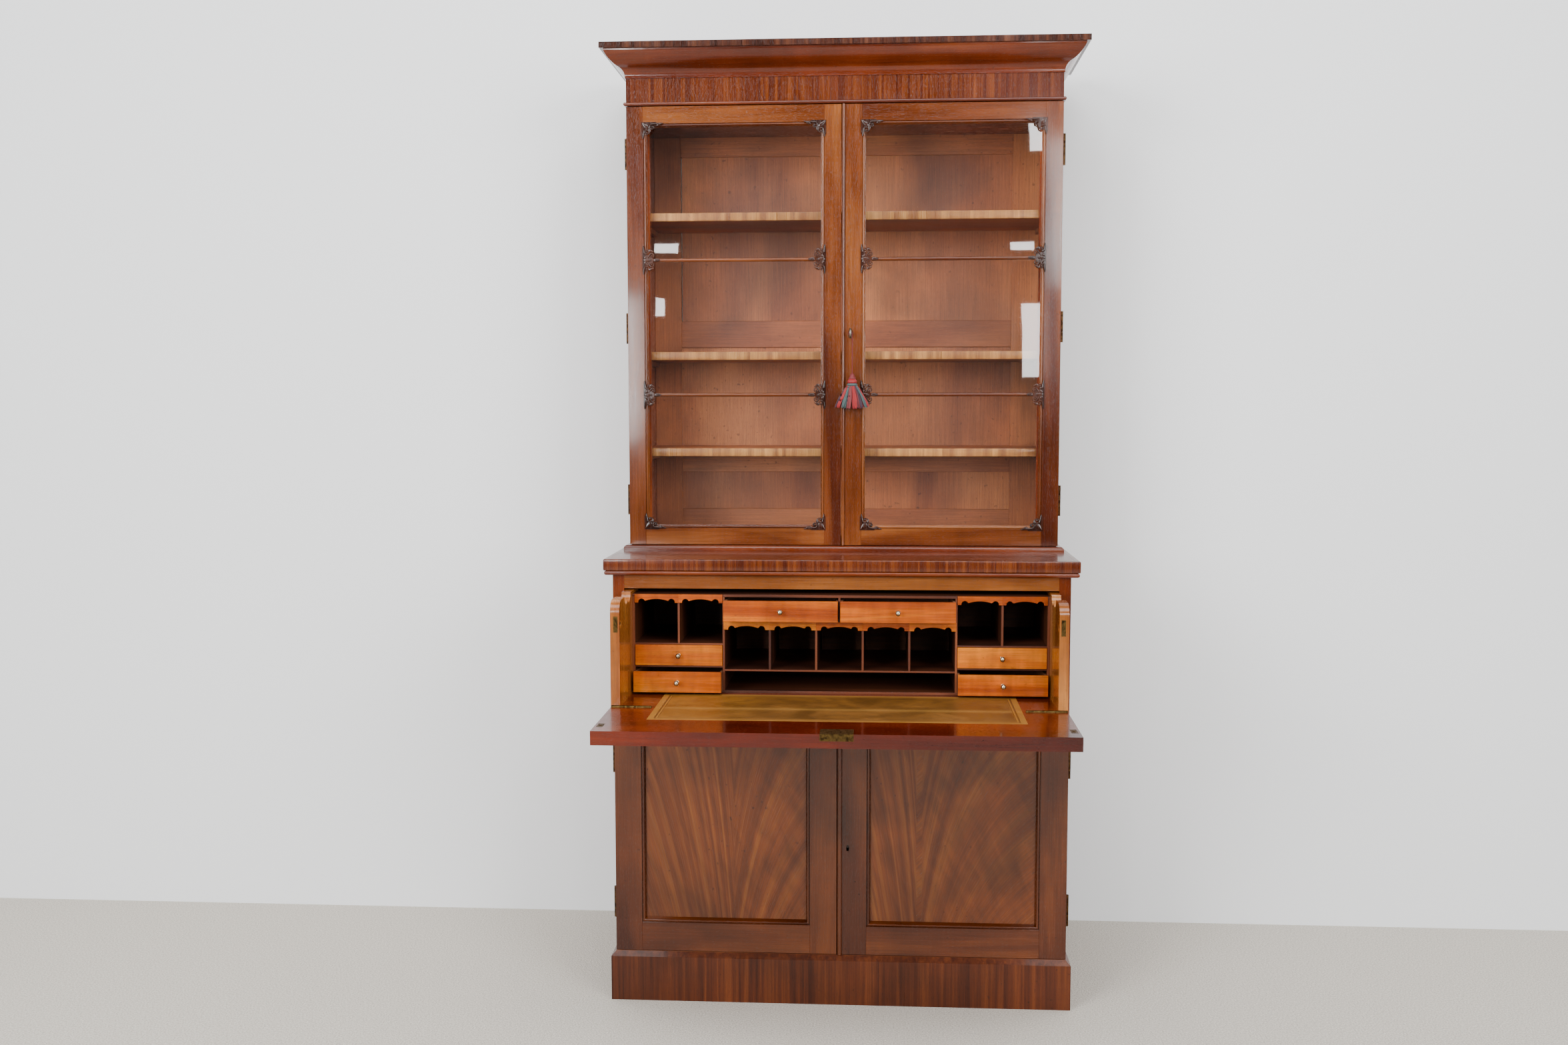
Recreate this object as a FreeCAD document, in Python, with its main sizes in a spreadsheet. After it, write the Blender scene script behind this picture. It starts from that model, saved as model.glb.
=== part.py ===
import FreeCAD, Part
import os
import re

# A glazed secretaire bookcase in two stages.  Below, a cupboard with two panelled doors and, over
# it, a deep drawer whose front falls forward as a leather-lined writing surface.  Above, a bookcase
# with two glazed doors under a cornice.  Origin: on the floor, under the middle of the base's front.
# X runs to the right, Y into the depth, Z up.  All lengths are millimetres.

doc = FreeCAD.newDocument("SecretaireBookcase")
sheet = doc.addObject("Spreadsheet::Sheet", "Sizes")

SIZES = [
    # overall
    ("overall_height", 2290, "floor to cornice top"),
    ("base_width", 1068, "outside of the base sides"),
    ("base_depth", 530, "front plane to back"),
    ("side_thick", 27, "base side boards"),
    ("back_thick", 12, "back boards of both stages"),
    # plinth
    ("plinth_height", 107, "square part of the plinth"),
    ("plinth_project", 11, "plinth proud of the base"),
    ("plinth_slope", 11, "height of the sloped top of the plinth"),
    ("plinth_board", 30, "plinth board thickness"),
    # base stage levels
    ("bottom_board", 11, "cupboard bottom board"),
    ("rail_height", 23, "rail between cupboard and drawer"),
    ("rail_depth", 26, "front rails, front to back"),
    ("dust_board", 16, "board under the drawer"),
    ("drawer_gap", 0.5, "running gap under the drawer"),
    ("writing_height", 751, "floor to writing surface"),
    ("fall_thick", 30, "writing fall"),
    ("rail_bottom", 993.5, "underside of the rail under the slab"),
    ("slab_top", 1064, "top of the base slab"),
    ("slab_thick", 27, "slab"),
    ("slab_project", 19, "slab proud of the base"),
    ("bead_height", 11, "bead under the slab"),
    ("bead_project", 17.5, "bead proud of the base"),
    ("cupboard_shelf_top", 430, "cupboard shelf"),
    ("cupboard_shelf_front", 60, "cupboard shelf behind the front"),
    ("shelf_thick", 20, "all shelves"),
    # doors
    ("door_thick", 24, "all door frames"),
    ("hinge_gap", 2.4, "between a door's back and the case"),
    ("door_gap", 1.5, "clearance over, under and between doors"),
    ("lower_stile", 63, "lower door stiles"),
    ("lower_top_rail", 62, "lower door top rail"),
    ("lower_bottom_rail", 69, "lower door bottom rail"),
    ("lower_moulding", 10, "moulding inside the lower door frame"),
    ("lower_panel_back", 12, "panel face behind the door front"),
    ("panel_thick", 8, "lower door panels"),
    ("lower_meeting", -5.5, "meeting line of the lower doors, off centre"),
    ("lower_astragal", 12, "lower meeting bead, width"),
    ("upper_stile", 41, "upper door stiles"),
    ("upper_top_rail", 41, "upper door top rail"),
    ("upper_bottom_rail", 41, "upper door bottom rail"),
    ("upper_moulding", 8.5, "moulding inside the upper door frame"),
    ("upper_meeting", -2.5, "meeting line of the upper doors, off centre"),
    ("upper_astragal", 8, "upper meeting bead, width"),
    ("astragal_project", 6, "meeting beads proud of the doors"),
    ("bar_width", 9, "glazing bars"),
    ("bar_low", 1448, "lower glazing bar, centre height"),
    ("bar_high", 1777, "upper glazing bar, centre height"),
    ("glass_thick", 3, "window glass"),
    ("glass_back", 9, "glass behind the door front"),
    # upper stage
    ("upper_width", 1056, "outside of the bookcase sides"),
    ("upper_front", 212, "bookcase front behind the base front"),
    ("upper_side_thick", 22, "bookcase sides, top and bottom"),
    ("face_stile", 52, "upright behind each upper door"),
    ("face_stile_thick", 20, "upright, front to back"),
    ("foot_height", 12, "moulding the bookcase stands on"),
    ("foot_project", 14, "foot moulding proud of the case"),
    ("frieze_height", 65.5, "frieze"),
    ("frieze_bead_height", 8, "bead at the foot of the frieze"),
    ("frieze_bead_project", 6, "frieze bead proud of the case"),
    ("cornice_height", 76, "cornice with its fascia"),
    ("cornice_project", 55.6, "cornice proud of the case"),
    ("cornice_fascia", 14.3, "square top of the cornice"),
    ("shelf_set_back", 3.6, "bookcase shelves behind the uprights"),
    ("shelf_low", 1315, "lowest book shelf, top"),
    ("shelf_middle", 1555, "middle book shelf, top"),
    ("shelf_high", 1897, "highest book shelf, top"),
    ("back_stile", 70, "bookcase back, framing"),
    ("bearer_size", 12, "shelf bearers"),
    # secretaire drawer
    ("drawer_out", 197, "drawer pulled out of the base"),
    ("drawer_depth", 480, "drawer front to back"),
    ("drawer_clear", 1.6, "between drawer and base sides"),
    ("drawer_side_thick", 21, "drawer sides"),
    ("drawer_side_gap", 3.5, "drawer sides under the rail"),
    ("drawer_floor_thick", 20, "drawer floor panel"),
    ("floor_lip", 60, "thick front of the drawer floor"),
    ("drawer_back_thick", 12, "drawer back"),
    ("side_round", 28, "rounded top corner of the drawer sides"),
    ("side_dip_at", 110, "dip in the drawer sides, behind their front"),
    ("side_dip_radius", 24, "each of the two hollows of the dip"),
    ("fall_clear", 1.5, "closed fall under the rail"),
    ("joint_clear", 0.4, "each side of the fall's hinge line"),
    ("leather_thick", 1, "leather lining"),
    ("leather_half", 406, "half the leather's width"),
    ("leather_back", 157, "leather's back edge behind the hinge line"),
    ("leather_front", 124, "leather's front edge before the hinge line"),
    # fittings of the drawer and fall
    ("fall_hinge_length", 90, "fall hinges"),
    ("fall_hinge_end", 1.5, "fall hinge in from the drawer's side"),
    ("leaf_height", 24, "fall hinge leaves"),
    ("leaf_thick", 1.4, "hinge leaves of the fall"),
    ("catch_in", 12, "catch in from the drawer's outside"),
    ("catch_height", 186, "catch above the writing surface"),
    ("catch_width", 10, "catch plate"),
    ("catch_length", 36, "catch plate, upright"),
    ("catch_thick", 2, "catch plate"),
    ("bolt_radius", 3, "thumb bolt"),
    ("bolt_clear", 0.3, "round the thumb bolt"),
    ("bolt_set", 2, "bolt behind the plate's face at rest"),
    ("bolt_length", 30, "thumb bolt"),
    ("bolt_travel", 6, "thumb bolt throw"),
    ("button_radius", 3.2, "thumb button"),
    ("button_back", 18, "thumb button behind the drawer's front"),
    ("finger_depth", 4, "finger recess"),
    ("finger_radius", 11, "finger recess"),
    ("strike_width", 14, "strike plates in the fall"),
    ("strike_depth", 7, "strike hole"),
    ("lock_width", 70, "fall lock plate"),
    ("lock_plate_deep", 48, "fall lock plate on the inner face"),
    ("lock_plate_edge", 15, "fall lock plate on the edge"),
    ("lock_plate_thick", 2, "fall lock plate"),
    ("lock_offset", 5, "fall lock off centre"),
    # nest of pigeonholes and small drawers
    ("nest_back_of_hinge", 172, "nest front behind the hinge line"),
    ("nest_top", 983, "top of the nest"),
    ("nest_board", 6, "nest base, top and ends"),
    ("partition", 5, "upright partitions"),
    ("thin_board", 4, "level partitions"),
    ("valance_thick", 3, "shaped valances"),
    ("valance_height", 20, "shaped valances"),
    ("valance_arch", 81, "radius of a valance's wide arch"),
    ("valance_rise", 11, "wood left over the wide arch"),
    ("valance_lobe", 8, "radius of a valance's end arches"),
    ("valance_lobe_at", 35, "end arches from a valance's middle"),
    ("centre_half", 267.5, "half the centre part of the nest"),
    ("flank_shelf_top", 868, "floor of the flank pigeonholes"),
    ("flank_middle_top", 815, "floor of the upper flank drawers"),
    ("centre_shelf_top", 807, "floor of the centre pigeonholes"),
    ("drawer_shelf_top", 925, "floor of the centre drawers"),
    ("small_clear", 0.5, "round each small drawer"),
    ("small_front", 8, "small drawer fronts"),
    ("small_side", 5, "small drawer sides and backs"),
    ("small_bottom", 4, "small drawer bottoms"),
    ("small_length", 240, "small drawers, front to back"),
    ("small_height", 49, "lower and centre drawer fronts"),
    ("centre_out", 38, "centre drawers pulled out"),
    ("lower_out", 32, "lower flank drawers pulled out"),
    ("knob_radius", 6.5, "brass knobs"),
    ("knob_stem", 3, "knob stem radius"),
    ("knob_reach", 13, "knob centre before its front"),
    # door furniture
    ("knuckle_radius", 4, "butt hinge knuckles"),
    ("knuckle_off", 0.3, "knuckle outside the case"),
    ("pin_radius", 1.5, "hinge pins"),
    ("pin_clear", 0.1, "round a hinge pin"),
    ("hinge_length", 75, "door hinges"),
    ("hinge_leaf", 20, "door hinge leaf width"),
    ("hinge_leaf_thick", 1.1, "door hinge leaf"),
    ("hinge_inset", 110, "door hinge middle from the door's end"),
    ("key_across", 20, "keyholes right of the centre"),
    ("upper_key_height", 1596, "bookcase keyhole"),
    ("lower_key_height", 378, "cupboard keyhole"),
    ("lock_case_width", 30, "door lock case"),
    ("lock_case_height", 62, "door lock case"),
    ("lock_case_thick", 11, "door lock case"),
    ("key_radius", 2.6, "key shank"),
    ("key_clear", 0.5, "round the key shank"),
    ("key_out", 26, "key shank before the door"),
    ("key_in", 20, "key shank inside the door"),
    ("bow_radius", 10, "key bow, middle of its ring"),
    ("bow_wire", 2.4, "key bow ring"),
    ("collar_radius", 4.2, "key collar"),
    ("plate_half_width", 6, "escutcheon"),
    ("plate_half_height", 11.5, "escutcheon"),
    ("plate_thick", 1.2, "escutcheon"),
    ("mount_thick", 5, "carved mounts"),
    ("mount_along", 56, "corner mount along the rail"),
    ("mount_down", 40, "corner mount down the stile"),
    ("bar_mount_along", 48, "bar mount along the bar"),
    ("bar_mount_tall", 70, "bar mount up the stile"),
    # tassel
    ("cord_radius", 1.3, "tassel cord"),
    ("cord_before", 18, "tassel cord before the door"),
    ("cord_length", 95, "tassel cord"),
    ("tassel_length", 90, "tassel"),
    ("tassel_half_width", 44, "tassel skirt"),
    ("tassel_half_depth", 10.5, "tassel skirt"),
]

for row, (alias, value, words) in enumerate(SIZES, start=1):
    sheet.set(f"A{row}", words)
    sheet.set(f"B{row}", str(value))
    sheet.setAlias(f"B{row}", alias)
doc.recompute()

ALIASES = {alias for alias, value, words in SIZES}


def formula(text):
    """An expression on the sheet's cells, from a sum written with their bare aliases."""
    return re.sub(r"[a-z_]+", lambda word: "Sizes." + word[0] if word[0] in ALIASES else word[0],
                  str(text))


def size(alias):
    """A cell's number, for the few shapes that are made by Part's own functions."""
    return float(sheet.get(alias))


def bind(thing, prop, text):
    thing.setExpression(prop, formula(text))


def box(name, x, y, z):
    """A board from three (low, high) pairs of sums."""
    board = doc.addObject("Part::Box", name)
    for length, axis, (low, high) in (("Length", "x", x), ("Width", "y", y), ("Height", "z", z)):
        bind(board, length, f"({high}) - ({low})")
        bind(board, f"Placement.Base.{axis}", low)
    return board


TURNS = {
    "x": FreeCAD.Rotation(FreeCAD.Vector(0, 1, 0), 90),
    "y": FreeCAD.Rotation(FreeCAD.Vector(1, 0, 0), -90),
    "z": FreeCAD.Rotation(),
}


def place(thing, x, y, z):
    for axis, text in (("x", x), ("y", y), ("z", z)):
        bind(thing, f"Placement.Base.{axis}", text)


def rod(name, radius, length, start, along):
    """A cylinder from its start point, along x, y or z."""
    round_bar = doc.addObject("Part::Cylinder", name)
    round_bar.Placement = FreeCAD.Placement(FreeCAD.Vector(), TURNS[along])
    bind(round_bar, "Radius", radius)
    bind(round_bar, "Height", length)
    place(round_bar, *start)
    return round_bar


def fuse(name, *solids):
    whole = doc.addObject("Part::MultiFuse", name)
    whole.Shapes = list(solids)
    return whole


def cut(name, base, *tools):
    result = doc.addObject("Part::Cut", name)
    result.Base = base
    result.Tool = tools[0] if len(tools) == 1 else fuse(name + "_tools", *tools)
    return result


def group(name, *solids):
    """Separate boards that share one node."""
    bundle = doc.addObject("Part::Compound", name)
    bundle.Links = list(solids)
    return bundle


def shape(name, solid):
    feature = doc.addObject("Part::Feature", name)
    feature.Shape = solid
    return feature


nodes = []


def node(label, thing):
    thing.Label = label
    nodes.append(thing)
    return thing


SIDES = (("left", -1), ("right", 1))


def span(side, inner, outer):
    """An (low, high) pair in x for a board between two distances from the middle."""
    if side < 0:
        return f"-({outer})", f"-({inner})"
    return inner, outer


# ---------------------------------------------------------------- base stage: the carcase

HALF = "base_width/2"
INNER = "base_width/2 - side_thick"
BACK = "base_depth - back_thick"
CASE_FRONT = "door_thick + hinge_gap"
BOTTOM_TOP = "plinth_height + bottom_board"
FLOOR_LOW = "writing_height - fall_thick - 1.5"
DUST_TOP = "writing_height - fall_thick - 1.5 - drawer_gap"
RAIL_LOW = f"{DUST_TOP} - rail_height"
SLAB_LOW = "slab_top - slab_thick"


def make_plinth():
    """Four boards with a sloped top outside the carcase: square boards and a wedge on each face."""
    out = f"{HALF} + plinth_project"
    front = box("plinth_front", (f"-({out})", out), ("-plinth_project", "plinth_board - plinth_project"),
                (0, "plinth_height"))
    back = box("plinth_back", (f"-({out})", out), ("base_depth - plinth_board", "base_depth"),
               (0, "plinth_height"))
    boards = [front, back]
    for word, side in SIDES:
        boards.append(box(f"plinth_{word}", span(side, f"{out} - plinth_board", out),
                          ("plinth_board - plinth_project", "base_depth - plinth_board"),
                          (0, "plinth_height")))
    low, high = size("plinth_height"), size("plinth_height") + size("plinth_slope")
    half, proud, deep = size("base_width") / 2, size("plinth_project"), size("base_depth")

    def slope(points, direction):
        wire = Part.makePolygon([FreeCAD.Vector(*point) for point in points + points[:1]])
        return Part.Face(wire).extrude(FreeCAD.Vector(*direction))

    end = half + proud
    front_slope = slope([(-end, -proud, low), (-end, 0, low), (-end, 0, high)], (2 * end, 0, 0))
    for side in (-1, 1):
        # the mitred ends: everything beyond the slope of the side is planed off
        edge = slope([(side * half, -proud, high), (side * end, -proud, low), (side * end, -proud, high)],
                     (0, proud, 0))
        front_slope = front_slope.cut(edge)
        boards.append(shape(f"plinth_slope_{side + 1}", slope(
            [(side * half, 0, low), (side * end, 0, low), (side * half, 0, high)], (0, deep, 0))))
    boards.append(shape("plinth_slope_front", front_slope))
    node("plinth", group("plinth", *boards))


def make_carcase():
    for word, side in SIDES:
        board = box(f"side_board_{word}", span(side, INNER, HALF), (0, "base_depth"),
                    (BOTTOM_TOP, SLAB_LOW))
        notch = box(f"side_notch_{word}", span(side, f"{INNER} - 1", f"{HALF} + 1"), (-1, CASE_FRONT),
                    (f"{BOTTOM_TOP} - 1", RAIL_LOW))
        node(f"base_side_{word}", cut(f"base_side_{word}", board, notch))
    inside = (f"-({INNER})", INNER)
    bottom = box("bottom_board_", (f"-({HALF})", HALF), (0, "base_depth"), ("plinth_height", BOTTOM_TOP))
    shelf = box("cupboard_shelf", (f"-({INNER} - small_clear)", f"{INNER} - small_clear"),
                ("cupboard_shelf_front", f"{BACK} - 2"), ("cupboard_shelf_top - shelf_thick", "cupboard_shelf_top"))
    node("cupboard_boards", group("cupboard_boards", bottom, shelf))
    node("base_back", box("base_back", inside, (BACK, "base_depth"), (BOTTOM_TOP, SLAB_LOW)))
    rails = [
        box("top_rail", inside, (0, "rail_depth"), ("rail_bottom", SLAB_LOW)),
        box("divider_rail", inside, (0, "rail_depth"), (RAIL_LOW, DUST_TOP)),
        box("dust_board_", inside, ("rail_depth", BACK), (f"{DUST_TOP} - dust_board", DUST_TOP)),
    ]
    node("base_rails", group("base_rails", *rails))


def make_slab():
    """The slab with the rounded bead that runs under its front and ends."""
    out = f"{HALF} + slab_project"
    top = box("slab_board", (f"-({out})", out), ("-slab_project", "base_depth"), (SLAB_LOW, "slab_top"))
    reach = f"{HALF} + bead_project"
    level = (f"{SLAB_LOW} - bead_height", SLAB_LOW)
    parts = [top, box("slab_bead_front", (f"-({reach})", reach), ("-bead_project", 0), level)]
    for word, side in SIDES:
        parts.append(box(f"slab_bead_{word}", span(side, HALF, reach), (0, "base_depth"), level))
    node("slab", group("slab", *parts))


# ---------------------------------------------------------------- upper stage: the bookcase

UPPER_HALF = "upper_width/2"
UPPER_INNER = "upper_width/2 - upper_side_thick"
UPPER_CASE_FRONT = "upper_front + door_thick + hinge_gap"
FOOT_TOP = "slab_top + foot_height"
UPPER_BOTTOM_TOP = "slab_top + foot_height + upper_side_thick"
SHELF_FRONT = f"{UPPER_CASE_FRONT} + face_stile_thick + shelf_set_back"
CORNICE_LOW = "overall_height - cornice_height"
FRIEZE_LOW = f"{CORNICE_LOW} - frieze_height"
UPPER_TOP = f"{FRIEZE_LOW} - door_gap"


def make_bookcase():
    out = f"{UPPER_HALF} + foot_project"
    strip = 40
    foot = [box("foot_front", (f"-({out})", out), ("upper_front - foot_project", f"upper_front + {strip}"),
                ("slab_top", FOOT_TOP))]
    for word, side in SIDES:
        foot.append(box(f"foot_{word}", span(side, f"{UPPER_HALF} - {strip}", out),
                        (f"upper_front + {strip}", "base_depth"), ("slab_top", FOOT_TOP)))
    node("foot_moulding", group("foot_moulding", *foot))
    for word, side in SIDES:
        board = box(f"upper_board_{word}", span(side, UPPER_INNER, UPPER_HALF),
                    (UPPER_CASE_FRONT, "base_depth"), (FOOT_TOP, CORNICE_LOW))
        stile = box(f"face_stile_{word}", span(side, f"{UPPER_HALF} - face_stile", UPPER_INNER),
                    (UPPER_CASE_FRONT, f"{UPPER_CASE_FRONT} + face_stile_thick"),
                    (UPPER_BOTTOM_TOP, f"{UPPER_TOP} - upper_side_thick"))
        node(f"upper_side_{word}", group(f"upper_side_{word}", board, stile))
    inside = (f"-({UPPER_INNER})", UPPER_INNER)
    deep = (UPPER_CASE_FRONT, BACK)
    node("upper_boards", group(
        "upper_boards",
        box("upper_bottom", inside, deep, (FOOT_TOP, UPPER_BOTTOM_TOP)),
        box("upper_top", inside, deep, (f"{UPPER_TOP} - upper_side_thick", UPPER_TOP))))
    make_back(inside)
    shelves = []
    bearers = []
    for word in ("low", "middle", "high"):
        under = f"shelf_{word} - shelf_thick"
        shelves.append(box(f"book_shelf_{word}",
                           (f"-({UPPER_INNER} - small_clear)", f"{UPPER_INNER} - small_clear"),
                           (SHELF_FRONT, f"{BACK} - 2"), (under, f"shelf_{word}")))
        for hand, side in SIDES:
            bearers.append(box(f"bearer_{word}_{hand}", span(side, f"{UPPER_INNER} - bearer_size", UPPER_INNER),
                               (f"{SHELF_FRONT} + 10", f"{BACK} - 10"), (f"{under} - bearer_size", under)))
    for hand, side in SIDES:
        under = "cupboard_shelf_top - shelf_thick"
        bearers.append(box(f"bearer_cupboard_{hand}", span(side, f"{INNER} - bearer_size", INNER),
                           ("cupboard_shelf_front + 10", f"{BACK} - 10"), (f"{under} - bearer_size", under)))
    node("book_shelves", group("book_shelves", *shelves))
    node("shelf_bearers", group("shelf_bearers", *bearers))


def make_back(inside):
    """Framed back: three stiles, four rails and six thin panels between them."""
    parts = []
    face = (BACK, "base_depth")
    thin = (f"{BACK} + 4", f"{BACK} + 8")
    low, high = FOOT_TOP, CORNICE_LOW
    half_stile = "back_stile/2"
    edges = [(f"-({UPPER_INNER})", f"-({UPPER_INNER}) + back_stile"), (f"-{half_stile}", half_stile),
             (f"{UPPER_INNER} - back_stile", UPPER_INNER)]
    for number, pair in enumerate(edges):
        parts.append(box(f"back_stile_{number}", pair, face, (low, high)))
    levels = [(low, f"{low} + back_stile"), ("shelf_low - back_stile", "shelf_low"),
              ("shelf_middle + 20", "shelf_middle + 20 + back_stile"), (f"{high} - 2*back_stile", high)]
    bays = [(edges[0][1], edges[1][0]), (edges[1][1], edges[2][0])]
    for bay, pair in enumerate(bays):
        for number, level in enumerate(levels):
            parts.append(box(f"back_rail_{bay}_{number}", pair, face, level))
        for number in range(len(levels) - 1):
            parts.append(box(f"back_panel_{bay}_{number}", pair, thin,
                             (levels[number][1], levels[number + 1][0])))
    node("upper_back", group("upper_back", *parts))


def make_frieze():
    board = box("frieze_board", (f"-({UPPER_HALF})", UPPER_HALF), ("upper_front", UPPER_CASE_FRONT),
                (FRIEZE_LOW, CORNICE_LOW))
    out = f"{UPPER_HALF} + frieze_bead_project"
    level = (FRIEZE_LOW, f"{FRIEZE_LOW} + frieze_bead_height")
    parts = [board, box("frieze_bead", (f"-({out})", out), ("upper_front - frieze_bead_project", "upper_front"), level)]
    for word, side in SIDES:
        parts.append(box(f"frieze_bead_{word}", span(side, UPPER_HALF, out), ("upper_front", "base_depth"), level))
    node("frieze", group("frieze", *parts))


def make_cornice():
    """A cyma under a fillet and a square fascia, mitred round the front and both ends."""
    top = size("overall_height")
    low = top - size("cornice_height")
    proud = size("cornice_project")
    fascia = top - size("cornice_fascia")
    fillet = 9
    hollow = proud - fillet
    waist = low + 0.45 * (fascia - low)
    half, front, back = size("upper_width") / 2, size("upper_front"), size("base_depth")

    def at(out, z):
        return FreeCAD.Vector(-half - out, back, z)

    def arc(start, middle, end):
        return Part.Arc(start, middle, end).toShape()

    body = 30
    points = [at(-body, low), at(2, low), at(0.42 * hollow, waist), at(hollow, fascia - 3), at(hollow, fascia),
              at(proud, fascia), at(proud, top), at(-body, top)]
    edges = [
        Part.makeLine(points[0], points[1]),
        arc(points[1], at(0.12 * hollow, low + 0.6 * (waist - low)), points[2]),
        arc(points[2], at(0.85 * hollow, waist + 0.55 * (fascia - waist)), points[3]),
    ]
    edges += [Part.makeLine(a, b) for a, b in zip(points[3:], points[4:] + points[:1])]
    profile = Part.Wire(edges)
    path = Part.makePolygon([FreeCAD.Vector(-half, back, low), FreeCAD.Vector(-half, front, low),
                             FreeCAD.Vector(half, front, low), FreeCAD.Vector(half, back, low)])
    moulding = path.makePipeShell([profile], True, False, 1)
    node("cornice", group("cornice", shape("cornice_moulding", moulding), box(
        "cornice_board", (f"-({UPPER_HALF} - {body})", f"{UPPER_HALF} - {body}"),
        (f"upper_front + {body}", "base_depth"), ("overall_height - 30", "overall_height - 12"))))


# ---------------------------------------------------------------- hinges and locks of the doors

KNUCKLE_OUT = "knuckle_radius + knuckle_off"


def hinge(name, side, half, plane, middle):
    """One butt hinge on a door's outer edge: the case's solids and the door's solids.

    half is the case's half width, plane the door's back, middle the hinge's height.
    """
    third = "(hinge_length/3)"
    gap = "joint_clear"
    axis_x = f"{'-' if side < 0 else ''}({half} + {KNUCKLE_OUT})"
    axis_y = f"{plane} + hinge_gap/2"
    low = f"{middle} - hinge_length/2"

    def knuckle(part, start, length):
        return rod(f"{name}_{part}", "knuckle_radius", length, (axis_x, axis_y, start), "z")

    def leaf(part, y, start, length):
        return box(f"{name}_{part}", span(side, f"{half} - hinge_leaf", f"{half} + {KNUCKLE_OUT}"), y,
                   (start, f"{start} + {length}"))

    case_leaf = leaf("case_leaf", (f"{plane} + hinge_gap - hinge_leaf_thick", f"{plane} + hinge_gap"),
                     low, "hinge_length")
    relief = rod(f"{name}_relief", "knuckle_radius + joint_clear", f"{third} + 2*{gap}",
                 (axis_x, axis_y, f"{low} + {third} - {gap}"), "z")
    case_part = fuse(f"{name}_case",
                     cut(f"{name}_case_cut", case_leaf, relief),
                     knuckle("low", low, f"{third} - {gap}"),
                     knuckle("high", f"{low} + 2*{third} + {gap}", f"{third} - {gap}"),
                     rod(f"{name}_pin", "pin_radius", "hinge_length", (axis_x, axis_y, low), "z"))
    door_leaf = leaf("door_leaf", (plane, f"{plane} + hinge_leaf_thick"), low, "hinge_length")
    ends = [rod(f"{name}_end_{word}", "knuckle_radius + joint_clear", f"{third} + {gap}",
                (axis_x, axis_y, start), "z")
            for word, start in (("low", f"{low} - {gap}"), ("high", f"{low} + 2*{third}"))]
    middle_part = fuse(f"{name}_middle", cut(f"{name}_leaf_cut", door_leaf, *ends),
                       knuckle("knuckle", f"{low} + {third}", third))
    bore = rod(f"{name}_bore", "pin_radius + pin_clear", "hinge_length", (axis_x, axis_y, low), "z")
    door_part = cut(f"{name}_door", middle_part, bore)
    return case_part, door_part


def oval(name, half_width, half_height, thick, x, y, z):
    """An upright oval plate whose back is at y."""
    plate = doc.addObject("Part::Ellipse", name + "_outline")
    bind(plate, "MajorRadius", half_height)
    bind(plate, "MinorRadius", half_width)
    turn = FreeCAD.Rotation(FreeCAD.Vector(0, 0, 1), 90)
    plate.Placement = FreeCAD.Placement(FreeCAD.Vector(), FreeCAD.Rotation(FreeCAD.Vector(1, 0, 0), 90) * turn)
    place(plate, x, y, z)
    solid = doc.addObject("Part::Extrusion", name)
    solid.Base = plate
    solid.DirMode = "Custom"
    solid.Dir = FreeCAD.Vector(0, -1, 0)
    bind(solid, "LengthFwd", thick)
    solid.Solid = True
    return solid


def door_lock(name, plane, height):
    """A lock case let into the back of a right-hand door; plane is that door's front."""
    return box(name, ("key_across - lock_case_width/2", "key_across + lock_case_width/2"),
               (f"{plane} + door_thick - lock_case_thick", f"{plane} + door_thick"),
               (f"{height} - lock_case_height/2", f"{height} + lock_case_height/2"))


def keyhole(name, plane, height, radius):
    return rod(name, radius, "door_thick", ("key_across", f"{plane} - plate_thick - 1", height), "y")


# ---------------------------------------------------------------- lower doors

LOWER_LOW = "plinth_height + bottom_board + door_gap"
LOWER_HIGH = f"{RAIL_LOW} - door_gap"


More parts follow.
